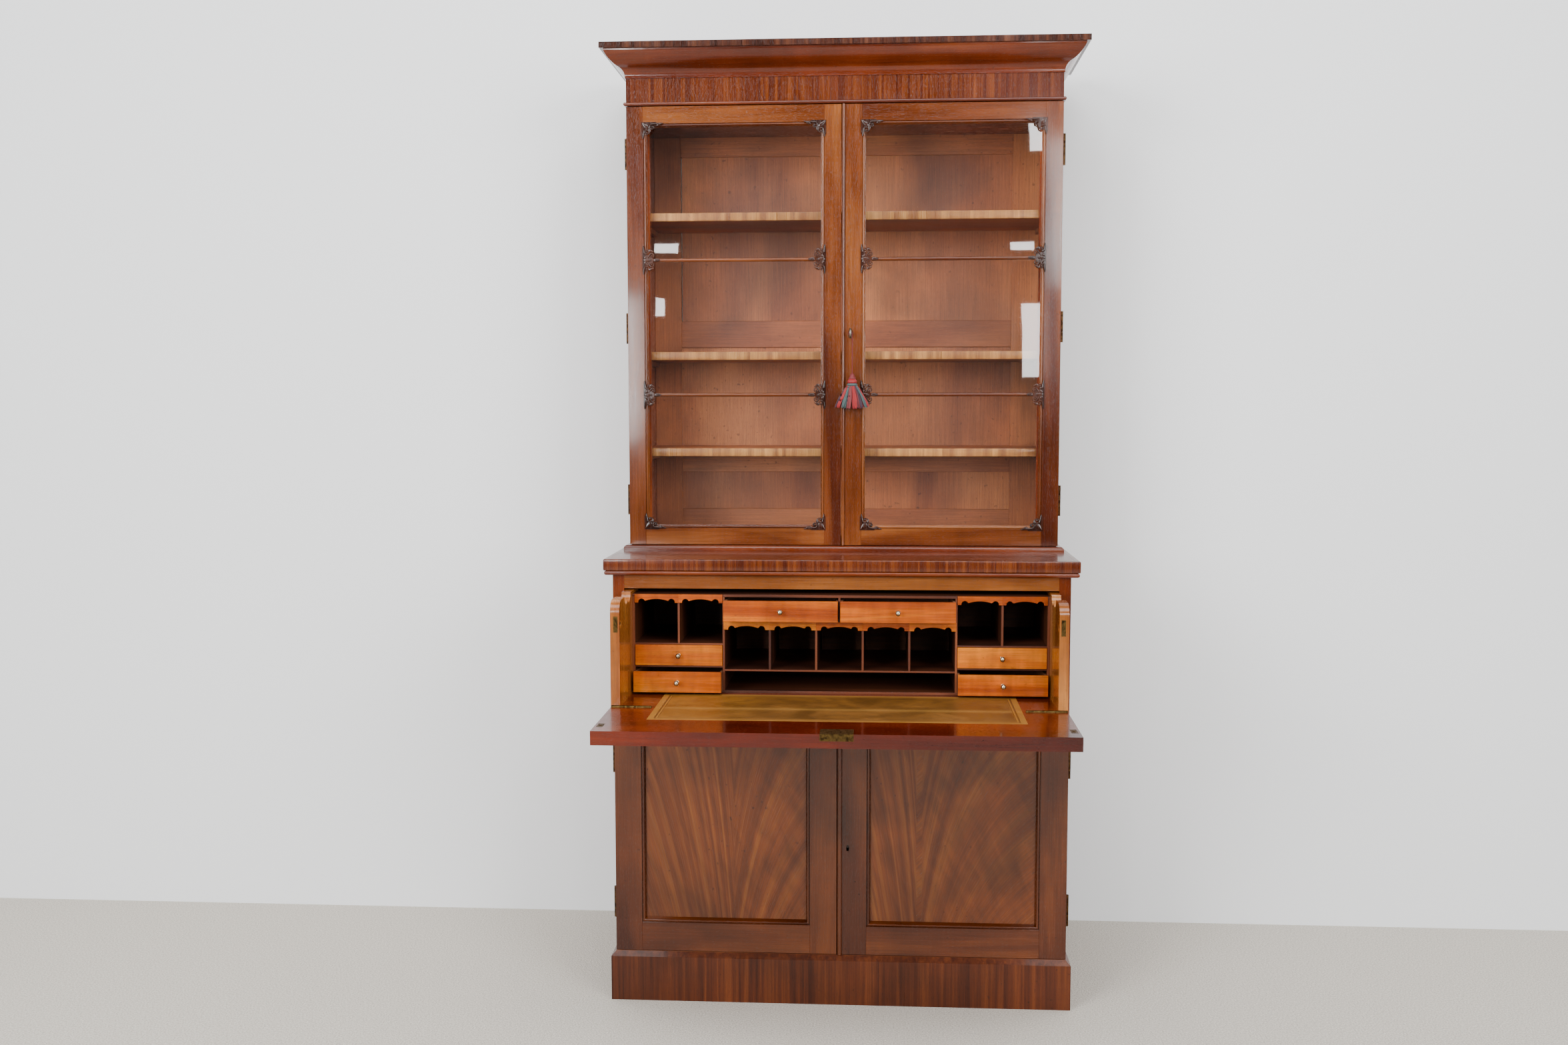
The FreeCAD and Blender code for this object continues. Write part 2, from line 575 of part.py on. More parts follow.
def make_lower_doors():
    case_hinges = []
    for word, side in SIDES:
        inner_x = "lower_meeting - door_gap/2" if side < 0 else "lower_meeting + door_gap/2"
        outer_x = f"-({HALF})" if side < 0 else HALF
        lap = "" if side < 0 else " + lower_astragal/2"
        thick = (0, "door_thick")

        def edge(step, outer=outer_x, sign=side):
            return f"{outer} {'+' if sign < 0 else '-'} ({step})"

        def inner(step, line=inner_x, sign=side):
            return f"{line} {'-' if sign < 0 else '+'} ({step})"

        def pair(a, b, sign=side):
            return (a, b) if sign < 0 else (b, a)

        name = f"lower_{word}"
        parts = [
            box(f"{name}_outer_stile", pair(outer_x, edge("lower_stile")), thick, (LOWER_LOW, LOWER_HIGH)),
            box(f"{name}_inner_stile", pair(inner(f"lower_stile{lap}"), inner_x), thick, (LOWER_LOW, LOWER_HIGH)),
        ]
        between = pair(edge("lower_stile"), inner(f"lower_stile{lap}"))
        parts.append(box(f"{name}_low_rail", between, thick, (LOWER_LOW, f"{LOWER_LOW} + lower_bottom_rail")))
        parts.append(box(f"{name}_high_rail", between, thick, (f"{LOWER_HIGH} - lower_top_rail", LOWER_HIGH)))
        sight_x = pair(edge("lower_stile + lower_moulding"), inner(f"lower_stile{lap} + lower_moulding"))
        sight_z = (f"{LOWER_LOW} + lower_bottom_rail + lower_moulding", f"{LOWER_HIGH} - lower_top_rail - lower_moulding")
        mould = (2, "lower_panel_back")
        field_z = (f"{LOWER_LOW} + lower_bottom_rail", f"{LOWER_HIGH} - lower_top_rail")
        parts += [
            box(f"{name}_mould_a", (between[0], sight_x[0]), mould, field_z),
            box(f"{name}_mould_b", (sight_x[1], between[1]), mould, field_z),
            box(f"{name}_mould_c", sight_x, mould, (field_z[0], sight_z[0])),
            box(f"{name}_mould_d", sight_x, mould, (sight_z[1], field_z[1])),
        ]
        panel = box(f"{name}_panel_board", between, ("lower_panel_back", "lower_panel_back + panel_thick"), field_z)
        if side > 0:
            lock = door_lock("lower_lock_case", "0", "lower_key_height")
            hole = keyhole("lower_keyhole", "0", "lower_key_height", "key_radius + key_clear")
            parts[1] = cut("lower_right_lock_stile", parts[1], lock, hole)
            parts.append(box("lower_astragal_bead", (inner_x, "lower_meeting + door_gap/2 + lower_astragal"),
                             ("-astragal_project", 0), (LOWER_LOW, LOWER_HIGH)))
        node(f"{name}_frame", group(f"{name}_frame", *parts))
        node(f"{name}_panel", panel)
        door_parts = []
        for level, middle in (("low", f"{LOWER_LOW} + hinge_inset"), ("high", f"{LOWER_HIGH} - hinge_inset")):
            case_part, door_part = hinge(f"{name}_hinge_{level}", side, HALF, "door_thick", middle)
            case_hinges.append(case_part)
            door_parts.append(door_part)
        if side > 0:
            bore = keyhole("lower_lock_bore", "0", "lower_key_height", "key_radius + key_clear")
            door_parts.append(cut("lower_lock", door_lock("lower_lock_body", "0", "lower_key_height"), bore))
            node("lower_right_brass", group("lower_right_brass", *door_parts))
        else:
            node("lower_left_hinges", group("lower_left_hinges", *door_parts))
    return case_hinges


# ---------------------------------------------------------------- upper doors

UPPER_LOW = "slab_top + foot_height + door_gap"
UPPER_HIGH = UPPER_TOP


def make_upper_doors():
    case_hinges = []
    front = "upper_front"
    thick = (front, f"{front} + door_thick")
    for word, side in SIDES:
        inner_x = "upper_meeting - door_gap/2" if side < 0 else "upper_meeting + door_gap/2"
        outer_x = f"-({UPPER_HALF})" if side < 0 else UPPER_HALF
        lap = "" if side < 0 else " + upper_astragal"

        def edge(step, outer=outer_x, sign=side):
            return f"{outer} {'+' if sign < 0 else '-'} ({step})"

        def inner(step, line=inner_x, sign=side):
            return f"{line} {'-' if sign < 0 else '+'} ({step})"

        def pair(a, b, sign=side):
            return (a, b) if sign < 0 else (b, a)

        name = f"upper_{word}"
        parts = [
            box(f"{name}_outer_stile", pair(outer_x, edge("upper_stile")), thick, (UPPER_LOW, UPPER_HIGH)),
            box(f"{name}_inner_stile", pair(inner(f"upper_stile{lap}"), inner_x), thick, (UPPER_LOW, UPPER_HIGH)),
        ]
        between = pair(edge("upper_stile"), inner(f"upper_stile{lap}"))
        parts.append(box(f"{name}_low_rail", between, thick, (UPPER_LOW, f"{UPPER_LOW} + upper_bottom_rail")))
        parts.append(box(f"{name}_high_rail", between, thick, (f"{UPPER_HIGH} - upper_top_rail", UPPER_HIGH)))
        glass_y = (f"{front} + glass_back", f"{front} + glass_back + glass_thick")
        mould = (f"{front} + 1.5", f"{front} + glass_back")
        low, high = f"{UPPER_LOW} + upper_bottom_rail", f"{UPPER_HIGH} - upper_top_rail"
        sight_x = pair(edge("upper_stile + upper_moulding"), inner(f"upper_stile{lap} + upper_moulding"))
        parts += [
            box(f"{name}_mould_a", (between[0], sight_x[0]), mould, (low, high)),
            box(f"{name}_mould_b", (sight_x[1], between[1]), mould, (low, high)),
            box(f"{name}_mould_c", sight_x, mould, (low, f"{low} + upper_moulding")),
            box(f"{name}_mould_d", sight_x, mould, (f"{high} - upper_moulding", high)),
        ]
        for bar in ("low", "high"):
            parts.append(box(f"{name}_bar_{bar}", sight_x, mould,
                             (f"bar_{bar} - bar_width/2", f"bar_{bar} + bar_width/2")))
            parts.append(box(f"{name}_rib_{bar}", between, (glass_y[0], f"{front} + door_thick"),
                             (f"bar_{bar} - 2", f"bar_{bar} + 2")))
        levels = [low, "bar_low - 2", "bar_low + 2", "bar_high - 2", "bar_high + 2", high]
        panes = [box(f"{name}_pane_{number}", between, glass_y, (levels[2 * number], levels[2 * number + 1]))
                 for number in range(3)]
        if side > 0:
            lock = door_lock("upper_lock_case", front, "upper_key_height")
            hole = keyhole("upper_keyhole", front, "upper_key_height", "key_radius + key_clear")
            parts[1] = cut("upper_right_lock_stile", parts[1], lock, hole)
            parts.append(box("upper_astragal_bead", (inner_x, f"{inner_x} + upper_astragal"),
                             (f"{front} - astragal_project", front), (UPPER_LOW, UPPER_HIGH)))
        node(f"{name}_frame", group(f"{name}_frame", *parts))
        node(f"{name}_glass", group(f"{name}_glass", *panes))
        make_mounts(name, side, edge, inner, lap, low, high)
        door_parts = []
        middle_height = f"({UPPER_LOW} + {UPPER_HIGH})/2"
        for level, middle in (("low", f"{UPPER_LOW} + hinge_inset"), ("mid", middle_height),
                              ("high", f"{UPPER_HIGH} - hinge_inset")):
            case_part, door_part = hinge(f"{name}_hinge_{level}", side, UPPER_HALF,
                                         f"{front} + door_thick", middle)
            case_hinges.append(case_part)
            door_parts.append(door_part)
        if side > 0:
            body = door_lock("upper_lock_body", front, "upper_key_height")
            bore = keyhole("upper_lock_bore", front, "upper_key_height", "key_radius + key_clear")
            plate = oval("escutcheon", "plate_half_width", "plate_half_height", "plate_thick",
                         "key_across", front, "upper_key_height")
            plate_bore = keyhole("escutcheon_bore", front, "upper_key_height", "key_radius + key_clear")
            door_parts.append(cut("upper_lock", body, bore))
            door_parts.append(cut("escutcheon_plate", plate, plate_bore))
            node("upper_right_brass", group("upper_right_brass", *door_parts))
        else:
            node("upper_left_hinges", group("upper_left_hinges", *door_parts))
    return case_hinges


def make_mounts(name, side, edge, inner, lap, low, high):
    """Carved mounts: one in each corner of the frame and one at each end of each glazing bar."""
    front = "upper_front"
    thick = (f"{front} - mount_thick", front)
    start = {"outer": "upper_stile - 4", "inner": f"upper_stile{lap} - 4"}
    measure = {"outer": edge, "inner": inner}
    mounts = []
    for where in ("outer", "inner"):
        from_line = measure[where]
        leftward = (where == "outer") == (side > 0)

        def x_pair(reach, begin=start[where], line=from_line, left=leftward):
            ends = (line(begin), line(f"{begin} + {reach}"))
            return (ends[1], ends[0]) if left else ends

        for level, z in (("low", (f"{low} - 4", f"{low} + mount_down - 4")),
                         ("high", (f"{high} - mount_down + 4", f"{high} + 4"))):
            mounts.append(box(f"{name}_mount_{where}_{level}", x_pair("mount_along"), thick, z))
        for bar in ("low", "high"):
            mounts.append(box(f"{name}_mount_{where}_bar_{bar}", x_pair("bar_mount_along"), thick,
                              (f"bar_{bar} - bar_mount_tall/2", f"bar_{bar} + bar_mount_tall/2")))
    node(f"{name}_mounts", group(f"{name}_mounts", *mounts))


# ---------------------------------------------------------------- key, cord and tassel

def make_key():
    front = "upper_front"
    bow_y = f"{front} - key_out - bow_radius"
    shank = rod("key_shank", "key_radius", "key_out + key_in", ("key_across", f"{front} - key_out", "upper_key_height"), "y")
    collar = rod("key_collar", "collar_radius", 4, ("key_across", f"{front} - 8", "upper_key_height"), "y")
    bow = doc.addObject("Part::Torus", "key_bow")
    bow.Placement = FreeCAD.Placement(FreeCAD.Vector(), TURNS["x"])
    bind(bow, "Radius1", "bow_radius")
    bind(bow, "Radius2", "bow_wire")
    place(bow, "key_across", bow_y, "upper_key_height")
    node("key", fuse("key", shank, collar, bow))
    # the cord is looped over the shank, behind the bow, and hangs beside it
    node("tassel_cord", rod("tassel_cord", "cord_radius", "cord_length",
                            ("key_across + key_radius + joint_clear + cord_radius",
                             f"{front} - cord_before", "upper_key_height - cord_length"), "z"))
    z_top = size("upper_key_height") - size("cord_length")
    long, wide, deep = size("tassel_length"), size("tassel_half_width"), size("tassel_half_depth")
    across = size("key_across") + size("key_radius") + size("joint_clear") + size("cord_radius")
    middle = FreeCAD.Vector(across, size("upper_front") - size("cord_before"), 0)
    sections = [(0, 0.12, 0.3), (0.16, 0.27, 0.75), (0.27, 0.25, 0.7), (0.32, 0.42, 0.85), (1, 1, 1)]
    wires = []
    for down, broad, thick in sections:
        centre = middle + FreeCAD.Vector(0, 0, z_top - down * long)
        curve = Part.Ellipse(centre, wide * broad, deep * thick)
        wires.append(Part.Wire([curve.toShape()]))
    node("tassel", shape("tassel", Part.makeLoft(wires, True, True)))


# ---------------------------------------------------------------- secretaire drawer

HINGE_Y = "-drawer_out"
DRAWER_FRONT = "-drawer_out + joint_clear"
DRAWER_HALF = "base_width/2 - side_thick - drawer_clear"
DRAWER_INNER = "base_width/2 - side_thick - drawer_clear - drawer_side_thick"
DRAWER_BACK = "-drawer_out + drawer_depth"
NEST_BACK = "-drawer_out + drawer_depth - drawer_back_thick"
CATCH_X = "base_width/2 - side_thick - drawer_clear - catch_in"
CATCH_Z = "writing_height + catch_height"


def signed(side, text):
    return f"-({text})" if side < 0 else f"({text})"


def fall_hinge(name, side):
    """A butt hinge at one end of the fall: the drawer's solid, the fall's solid and their mortices."""
    third = "(fall_hinge_length/3)"
    outer = f"{DRAWER_HALF} - fall_hinge_end"
    inner = f"{outer} - fall_hinge_length"
    low_x = span(side, inner, outer)[0]
    spot = (HINGE_Y, "writing_height")

    def knuckle(part, offset, length, radius):
        return rod(f"{name}_{part}", radius, length, (f"{low_x} + {offset}", *spot), "x")

    heights = ("writing_height - leaf_height", "writing_height - 1")
    near = (f"{HINGE_Y} + joint_clear", f"{HINGE_Y} + joint_clear + leaf_thick")
    far = (f"{HINGE_Y} - joint_clear - leaf_thick", f"{HINGE_Y} - joint_clear")
    pin = knuckle("pin", 0, "fall_hinge_length", "pin_radius")
    room = "knuckle_radius + joint_clear"
    reach = span(side, inner, f"{outer} - drawer_side_thick - fall_hinge_end")
    strip = span(side, inner, outer)
    drawer_leaf = box(f"{name}_drawer_leaf", reach, near, heights)
    fall_leaf = box(f"{name}_fall_leaf", strip, far, heights)
    middle_gap = knuckle("middle_gap", f"{third} - joint_clear", f"{third} + 2*joint_clear", room)
    end_gaps = [knuckle("gap_a", "-1", f"{third} + 1 + joint_clear/2", room),
                knuckle("gap_b", f"2*{third} - joint_clear/2", f"{third} + 1 + joint_clear/2", room)]
    fixed = fuse(f"{name}_fixed", cut(f"{name}_drawer_leaf_cut", drawer_leaf, middle_gap),
                 knuckle("a", 0, f"{third} - joint_clear/2", "knuckle_radius"),
                 knuckle("b", f"2*{third} + joint_clear/2", f"{third} - joint_clear/2", "knuckle_radius"), pin)
    bore = knuckle("bore", "-1", "fall_hinge_length + 2", "pin_radius + pin_clear")
    moving = cut(f"{name}_moving", fuse(f"{name}_moving_whole",
                                        cut(f"{name}_fall_leaf_cut", fall_leaf, *end_gaps),
                                        knuckle("middle", f"{third} + joint_clear/2", f"{third} - joint_clear",
                                                "knuckle_radius")), bore)
    channel = knuckle("channel", "-1", "fall_hinge_length + 2", room)
    return fixed, moving, channel, (reach, near, heights), (strip, far, heights)


def make_drawer():
    level = (FLOOR_LOW, "rail_bottom - drawer_side_gap")
    brass = []
    fall_brass = []
    floor_cuts = []
    fall_cuts = []
    top = "rail_bottom - drawer_side_gap"
    for word, side in SIDES:
        board = box(f"drawer_board_{word}", span(side, DRAWER_INNER, DRAWER_HALF), (DRAWER_FRONT, DRAWER_BACK), level)
        wide = span(side, f"{DRAWER_INNER} - 1", f"{DRAWER_HALF} + 1")
        thick = "drawer_side_thick + 2"
        corner = box(f"corner_{word}", wide, (f"{DRAWER_FRONT} - 1", f"{DRAWER_FRONT} + side_round"),
                     (f"{top} - side_round", f"{top} + 1"))
        rounder = rod(f"rounder_{word}", "side_round", f"{thick} + 2",
                      (f"{wide[0]} - 1", f"{DRAWER_FRONT} + side_round", f"{top} - side_round"), "x")
        cutters = [cut(f"corner_cut_{word}", corner, rounder)]
        for step in (-1, 1):
            cutters.append(rod(f"dip_{word}_{step + 1}", "side_dip_radius", thick,
                               (wide[0], f"{DRAWER_FRONT} + side_dip_at + {step}*side_dip_radius*0.75",
                                f"{top} + 4"), "x"))
        fixed, moving, channel, floor_leaf, fall_leaf = fall_hinge(f"fall_hinge_{word}", side)
        brass.append(fixed)
        fall_brass.append(moving)
        cutters.append(channel)
        # the catch: a plate let into the front edge, a round bolt behind it and a finger recess
        plate_x = (f"{signed(side, CATCH_X)} - catch_width/2", f"{signed(side, CATCH_X)} + catch_width/2")
        plate_z = (f"{CATCH_Z} - catch_length/2", f"{CATCH_Z} + catch_length/2")
        plate_y = (DRAWER_FRONT, f"{DRAWER_FRONT} + catch_thick")
        cutters.append(box(f"catch_seat_{word}", plate_x, plate_y, plate_z))
        hole = "bolt_radius + bolt_clear"
        cutters.append(rod(f"bolt_way_{word}", hole, "bolt_length + bolt_set + 3",
                           (signed(side, CATCH_X), f"{DRAWER_FRONT} - 1", CATCH_Z), "y"))
        slot_y = f"{DRAWER_FRONT} + button_back"
        slot_half = "(button_radius + bolt_clear)"
        cutters.append(box(f"button_slot_{word}", span(side, f"{DRAWER_INNER} - 1", CATCH_X),
                           (f"{slot_y} - bolt_travel - {slot_half}", f"{slot_y} + {slot_half}"),
                           (f"{CATCH_Z} - {slot_half}", f"{CATCH_Z} + {slot_half}")))
        well_x = span(side, f"{DRAWER_INNER} - 1", f"{DRAWER_INNER} + finger_depth")[0]
        cutters.append(rod(f"finger_well_{word}", "finger_radius", "finger_depth + 1",
                           (well_x, f"{slot_y} - bolt_travel/2", CATCH_Z), "x"))
        node(f"drawer_side_{word}", cut(f"drawer_side_{word}", board, *cutters))
        plate = box(f"catch_plate_{word}", plate_x, plate_y, plate_z)
        plate_hole = rod(f"catch_hole_{word}", hole, 10, (signed(side, CATCH_X), f"{DRAWER_FRONT} - 1", CATCH_Z), "y")
        brass.append(cut(f"catch_{word}", plate, plate_hole))
        make_thumb_bolt(word, side)
        fall_brass.append(make_strike(word, side, fall_cuts))
        floor_cuts.append(box(f"floor_mortice_{word}", *floor_leaf))
        floor_cuts.append(fall_hinge_channel(f"floor_channel_{word}", side))
        fall_cuts.append(box(f"fall_mortice_{word}", *fall_leaf))
        fall_cuts.append(fall_hinge_channel(f"fall_channel_{word}", side))
    node("drawer_brass", group("drawer_brass", *brass))
    make_floor(floor_cuts)
    make_fall(fall_cuts, fall_brass)


def fall_hinge_channel(name, side):
    outer = f"{DRAWER_HALF} - fall_hinge_end"
    low_x = span(side, f"{outer} - fall_hinge_length", outer)[0]
    return rod(name, "knuckle_radius + joint_clear", "fall_hinge_length + 2",
               (f"{low_x} - 1", HINGE_Y, "writing_height"), "x")


def make_thumb_bolt(word, side):
    bolt = rod(f"bolt_{word}", "bolt_radius", "bolt_length",
               (signed(side, CATCH_X), f"{DRAWER_FRONT} + bolt_set", CATCH_Z), "y")
    reach = span(side, f"{DRAWER_INNER} + finger_depth - 3", CATCH_X)
    length = f"({reach[1]}) - ({reach[0]})"
    button = rod(f"button_{word}", "button_radius", length,
                 (reach[0], f"{DRAWER_FRONT} + button_back", CATCH_Z), "x")
    node(f"thumb_bolt_{word}", fuse(f"thumb_bolt_{word}", bolt, button))


def make_strike(word, side, fall_cuts):
    """A plate in the fall's inner face that takes the thumb bolt when the fall is up."""
    x = (f"{signed(side, CATCH_X)} - strike_width/2", f"{signed(side, CATCH_X)} + strike_width/2")
    centre = f"{HINGE_Y} - catch_height"
    y = (f"{centre} - catch_length/2", f"{centre} + catch_length/2")
    z = ("writing_height - leaf_thick", "writing_height")
    radius = "bolt_radius + 1"
    fall_cuts.append(box(f"strike_seat_{word}", x, y, z))
    fall_cuts.append(rod(f"strike_well_{word}", radius, "strike_depth + 1",
                         (signed(side, CATCH_X), centre, "writing_height - strike_depth"), "z"))
    hole = rod(f"strike_hole_{word}", radius, "strike_depth + 1",
               (signed(side, CATCH_X), centre, "writing_height - strike_depth"), "z")
    return cut(f"strike_{word}", box(f"strike_plate_{word}", x, y, z), hole)


def make_floor(floor_cuts):
    inside = (f"-({DRAWER_INNER})", DRAWER_INNER)
    top = "writing_height"
    panel = box("floor_panel", inside, (DRAWER_FRONT, NEST_BACK), ("writing_height - drawer_floor_thick", top))
    lip = box("floor_front", inside, (DRAWER_FRONT, f"{DRAWER_FRONT} + floor_lip"), (FLOOR_LOW, top))
    tray_y = (f"{DRAWER_FRONT} - 1", f"{HINGE_Y} + leather_back")
    tray = box("floor_tray", ("-leather_half", "leather_half"), tray_y, ("writing_height - leather_thick", "writing_height + 1"))
    node("drawer_floor", cut("drawer_floor", fuse("floor_whole", panel, lip), tray, *floor_cuts))
    node("floor_leather", box("floor_leather", ("-leather_half", "leather_half"),
                              (DRAWER_FRONT, f"{HINGE_Y} + leather_back"), ("writing_height - leather_thick", top)))
    node("drawer_back", box("drawer_back", inside, (NEST_BACK, DRAWER_BACK), (FLOOR_LOW, "nest_top")))


def make_fall(fall_cuts, fall_brass):
    edge = f"{HINGE_Y} - joint_clear"
    front = f"{HINGE_Y} - (rail_bottom - fall_clear - writing_height)"
    level = ("writing_height - fall_thick", "writing_height")
    board = box("fall_whole", (f"-({DRAWER_HALF})", DRAWER_HALF), (front, edge), level)
    tray = box("fall_tray", ("-leather_half", "leather_half"), (f"{HINGE_Y} - leather_front", f"{edge} + 1"),
               ("writing_height - leather_thick", "writing_height + 1"))
    lock_x = ("lock_offset - lock_width/2", "lock_offset + lock_width/2")
    body_x = ("lock_offset - lock_width/2 + 5", "lock_offset + lock_width/2 - 5")

    def lock_parts(name):
        return [
            box(f"{name}_top", lock_x, (front, f"{front} + lock_plate_deep"), ("writing_height - lock_plate_thick", "writing_height")),
            box(f"{name}_edge", lock_x, (front, f"{front} + lock_plate_thick"), ("writing_height - lock_plate_edge", "writing_height")),
            box(f"{name}_body", body_x, (front, f"{front} + lock_plate_deep - 6"), ("writing_height - lock_plate_edge", "writing_height")),
        ]

    node("fall_board", cut("fall_board", board, tray, *lock_parts("lock_seat"), *fall_cuts))
    node("fall_leather", box("fall_leather", ("-leather_half", "leather_half"), (f"{HINGE_Y} - leather_front", edge),
                             ("writing_height - leather_thick", "writing_height")))
    node("fall_brass", group("fall_brass", fuse("fall_lock", *lock_parts("lock")), *fall_brass))


# ---------------------------------------------------------------- nest of pigeonholes and drawers

NEST_FRONT = "-drawer_out + nest_back_of_hinge"
NEST_LOW = "writing_height + nest_board"
NEST_UNDER_TOP = "nest_top - nest_board"
NEST_INNER = f"{DRAWER_INNER} - nest_board"
BOARD_FRONT = f"{NEST_FRONT} + valance_thick"
FLANK_INNER = "centre_half + partition"
FLANK_MIDDLE = f"(({FLANK_INNER}) + ({NEST_INNER}))/2"
BAY = "((2*centre_half + partition)/5)"


def make_nest():
    deep = (BOARD_FRONT, NEST_BACK)
    full = (f"-({DRAWER_INNER})", DRAWER_INNER)
    parts = [
        box("nest_base", full, deep, ("writing_height", NEST_LOW)),
        box("nest_top_board", full, deep, (NEST_UNDER_TOP, "nest_top")),
        box("centre_shelf", ("-centre_half", "centre_half"), deep, ("centre_shelf_top - thin_board", "centre_shelf_top")),
        box("drawer_shelf", ("-centre_half", "centre_half"), deep, ("drawer_shelf_top - thin_board", "drawer_shelf_top")),
        box("drawer_divider", ("-partition/2", "partition/2"), deep, ("drawer_shelf_top", NEST_UNDER_TOP)),
    ]
    for word, side in SIDES:
        parts.append(box(f"nest_end_{word}", span(side, NEST_INNER, DRAWER_INNER), deep, (NEST_LOW, NEST_UNDER_TOP)))
        parts.append(box(f"main_partition_{word}", span(side, "centre_half", FLANK_INNER), deep, (NEST_LOW, NEST_UNDER_TOP)))
        flank = span(side, FLANK_INNER, NEST_INNER)
        for shelf in ("flank_shelf_top", "flank_middle_top"):
            parts.append(box(f"{shelf}_{word}", flank, deep, (f"{shelf} - thin_board", shelf)))
        parts.append(box(f"flank_divider_{word}", span(side, f"{FLANK_MIDDLE} - partition/2", f"{FLANK_MIDDLE} + partition/2"),
                         deep, ("flank_shelf_top", NEST_UNDER_TOP)))
    for number in (-1.5, -0.5, 0.5, 1.5):
        centre = f"{number}*{BAY}"
        parts.append(box(f"centre_divider_{int(number * 2 + 3)}", (f"{centre} - partition/2", f"{centre} + partition/2"),
                         deep, ("centre_shelf_top", "drawer_shelf_top - thin_board")))
    node("nest_case", group("nest_case", *parts))


def valance(name, x, top):
    """One thin shaped board: a wide flat arch between two small ones, with a foot at each end."""
    board = box(f"{name}_board", x, (NEST_FRONT, BOARD_FRONT), (f"{top} - valance_height", top))
    middle = f"(({x[0]}) + ({x[1]}))/2"
    start = f"{NEST_FRONT} - 1"
    cutters = [rod(f"{name}_arch", "valance_arch", "valance_thick + 2",
                   (middle, start, f"{top} - valance_rise - valance_arch"), "y")]
    for step in (-1, 1):
        cutters.append(rod(f"{name}_lobe_{step + 1}", "valance_lobe", "valance_thick + 2",
                           (f"{middle} + {step}*valance_lobe_at", start,
                            f"{top} - valance_rise + 0.5 - valance_lobe"), "y"))
    return cut(name, board, *cutters)


def make_valances():
    parts = []
    for number in range(5):
        low = f"({number} - 2.5)*{BAY}"
        parts.append(valance(f"valance_centre_{number}", (low, f"{low} + {BAY}"), "drawer_shelf_top - thin_board"))
    for word, side in SIDES:
        parts.append(valance(f"valance_{word}_inner", span(side, FLANK_INNER, FLANK_MIDDLE), "nest_top"))
        parts.append(valance(f"valance_{word}_outer", span(side, FLANK_MIDDLE, NEST_INNER), "nest_top"))
    node("valances", group("valances", *parts))


def small_drawer(label, x, low, high, out):
    """A drawer of five boards with a brass knob, pulled out by a given amount."""
    front = f"{NEST_FRONT} - ({out})"
    left, right = f"{x[0]} + small_clear", f"{x[1]} - small_clear"
    bottom, top = f"{low} + small_clear", f"{high} - small_clear"
    back = f"{front} + small_length"
    inner_x = (f"{left} + small_side", f"{right} - small_side")
    behind = f"{front} + small_front"
    side_top = f"{top} - 3"
    parts = [
        box(f"{label}_front", (left, right), (front, behind), (bottom, top)),
        box(f"{label}_side_a", (left, inner_x[0]), (behind, back), (bottom, side_top)),
        box(f"{label}_side_b", (inner_x[1], right), (behind, back), (bottom, side_top)),
        box(f"{label}_back", inner_x, (f"{back} - small_side", back), (bottom, side_top)),
        box(f"{label}_bottom", inner_x, (behind, f"{back} - small_side"), (bottom, f"{bottom} + small_bottom")),
    ]
    node(label, group(label, *parts))
    centre = (f"(({left}) + ({right}))/2", f"(({bottom}) + ({top}))/2")
    stem = rod(f"{label}_stem", "knob_stem", "knob_reach", (centre[0], f"{front} - knob_reach", centre[1]), "y")
    ball = doc.addObject("Part::Sphere", f"{label}_ball")
    bind(ball, "Radius", "knob_radius")
    place(ball, centre[0], f"{front} - knob_reach", centre[1])
    node(f"{label}_knob", fuse(f"{label}_knob", stem, ball))


def make_small_drawers():
    centre = {"left": ("-centre_half", "-partition/2"), "right": ("partition/2", "centre_half")}
    for word, side in SIDES:
        flank = span(side, FLANK_INNER, NEST_INNER)
        small_drawer(f"small_drawer_centre_{word}", centre[word], "drawer_shelf_top",
                     "drawer_shelf_top + small_height", "centre_out")
        small_drawer(f"small_drawer_upper_{word}", flank, "flank_middle_top", "flank_shelf_top - thin_board", "0")
        small_drawer(f"small_drawer_lower_{word}", flank, NEST_LOW, f"{NEST_LOW} + small_height", "lower_out")


# ---------------------------------------------------------------- build, check and export

make_plinth()
make_carcase()
make_slab()
make_bookcase()
make_frieze()
make_cornice()
hinges = make_lower_doors() + make_upper_doors()
node("case_hinges", group("case_hinges", *hinges))
make_key()
make_drawer()
make_nest()
make_valances()
make_small_drawers()
doc.recompute()

for thing in doc.Objects:
    if "Invalid" in thing.State or "Error" in thing.State:
        raise SystemExit(f"{thing.Name} failed: {thing.State}")
for thing in nodes:
    if thing.Shape.isNull() or not thing.Shape.isValid() or not thing.Shape.Solids:
        raise SystemExit(f"{thing.Label} has no valid solid")

os.makedirs("parts", exist_ok=True)
for thing in nodes:
    thing.Shape.exportStep(os.path.join("parts", thing.Label + ".step"))
print(len(nodes), "parts written")
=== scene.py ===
import math
import random

import bmesh
import bpy
from mathutils import Matrix, Vector


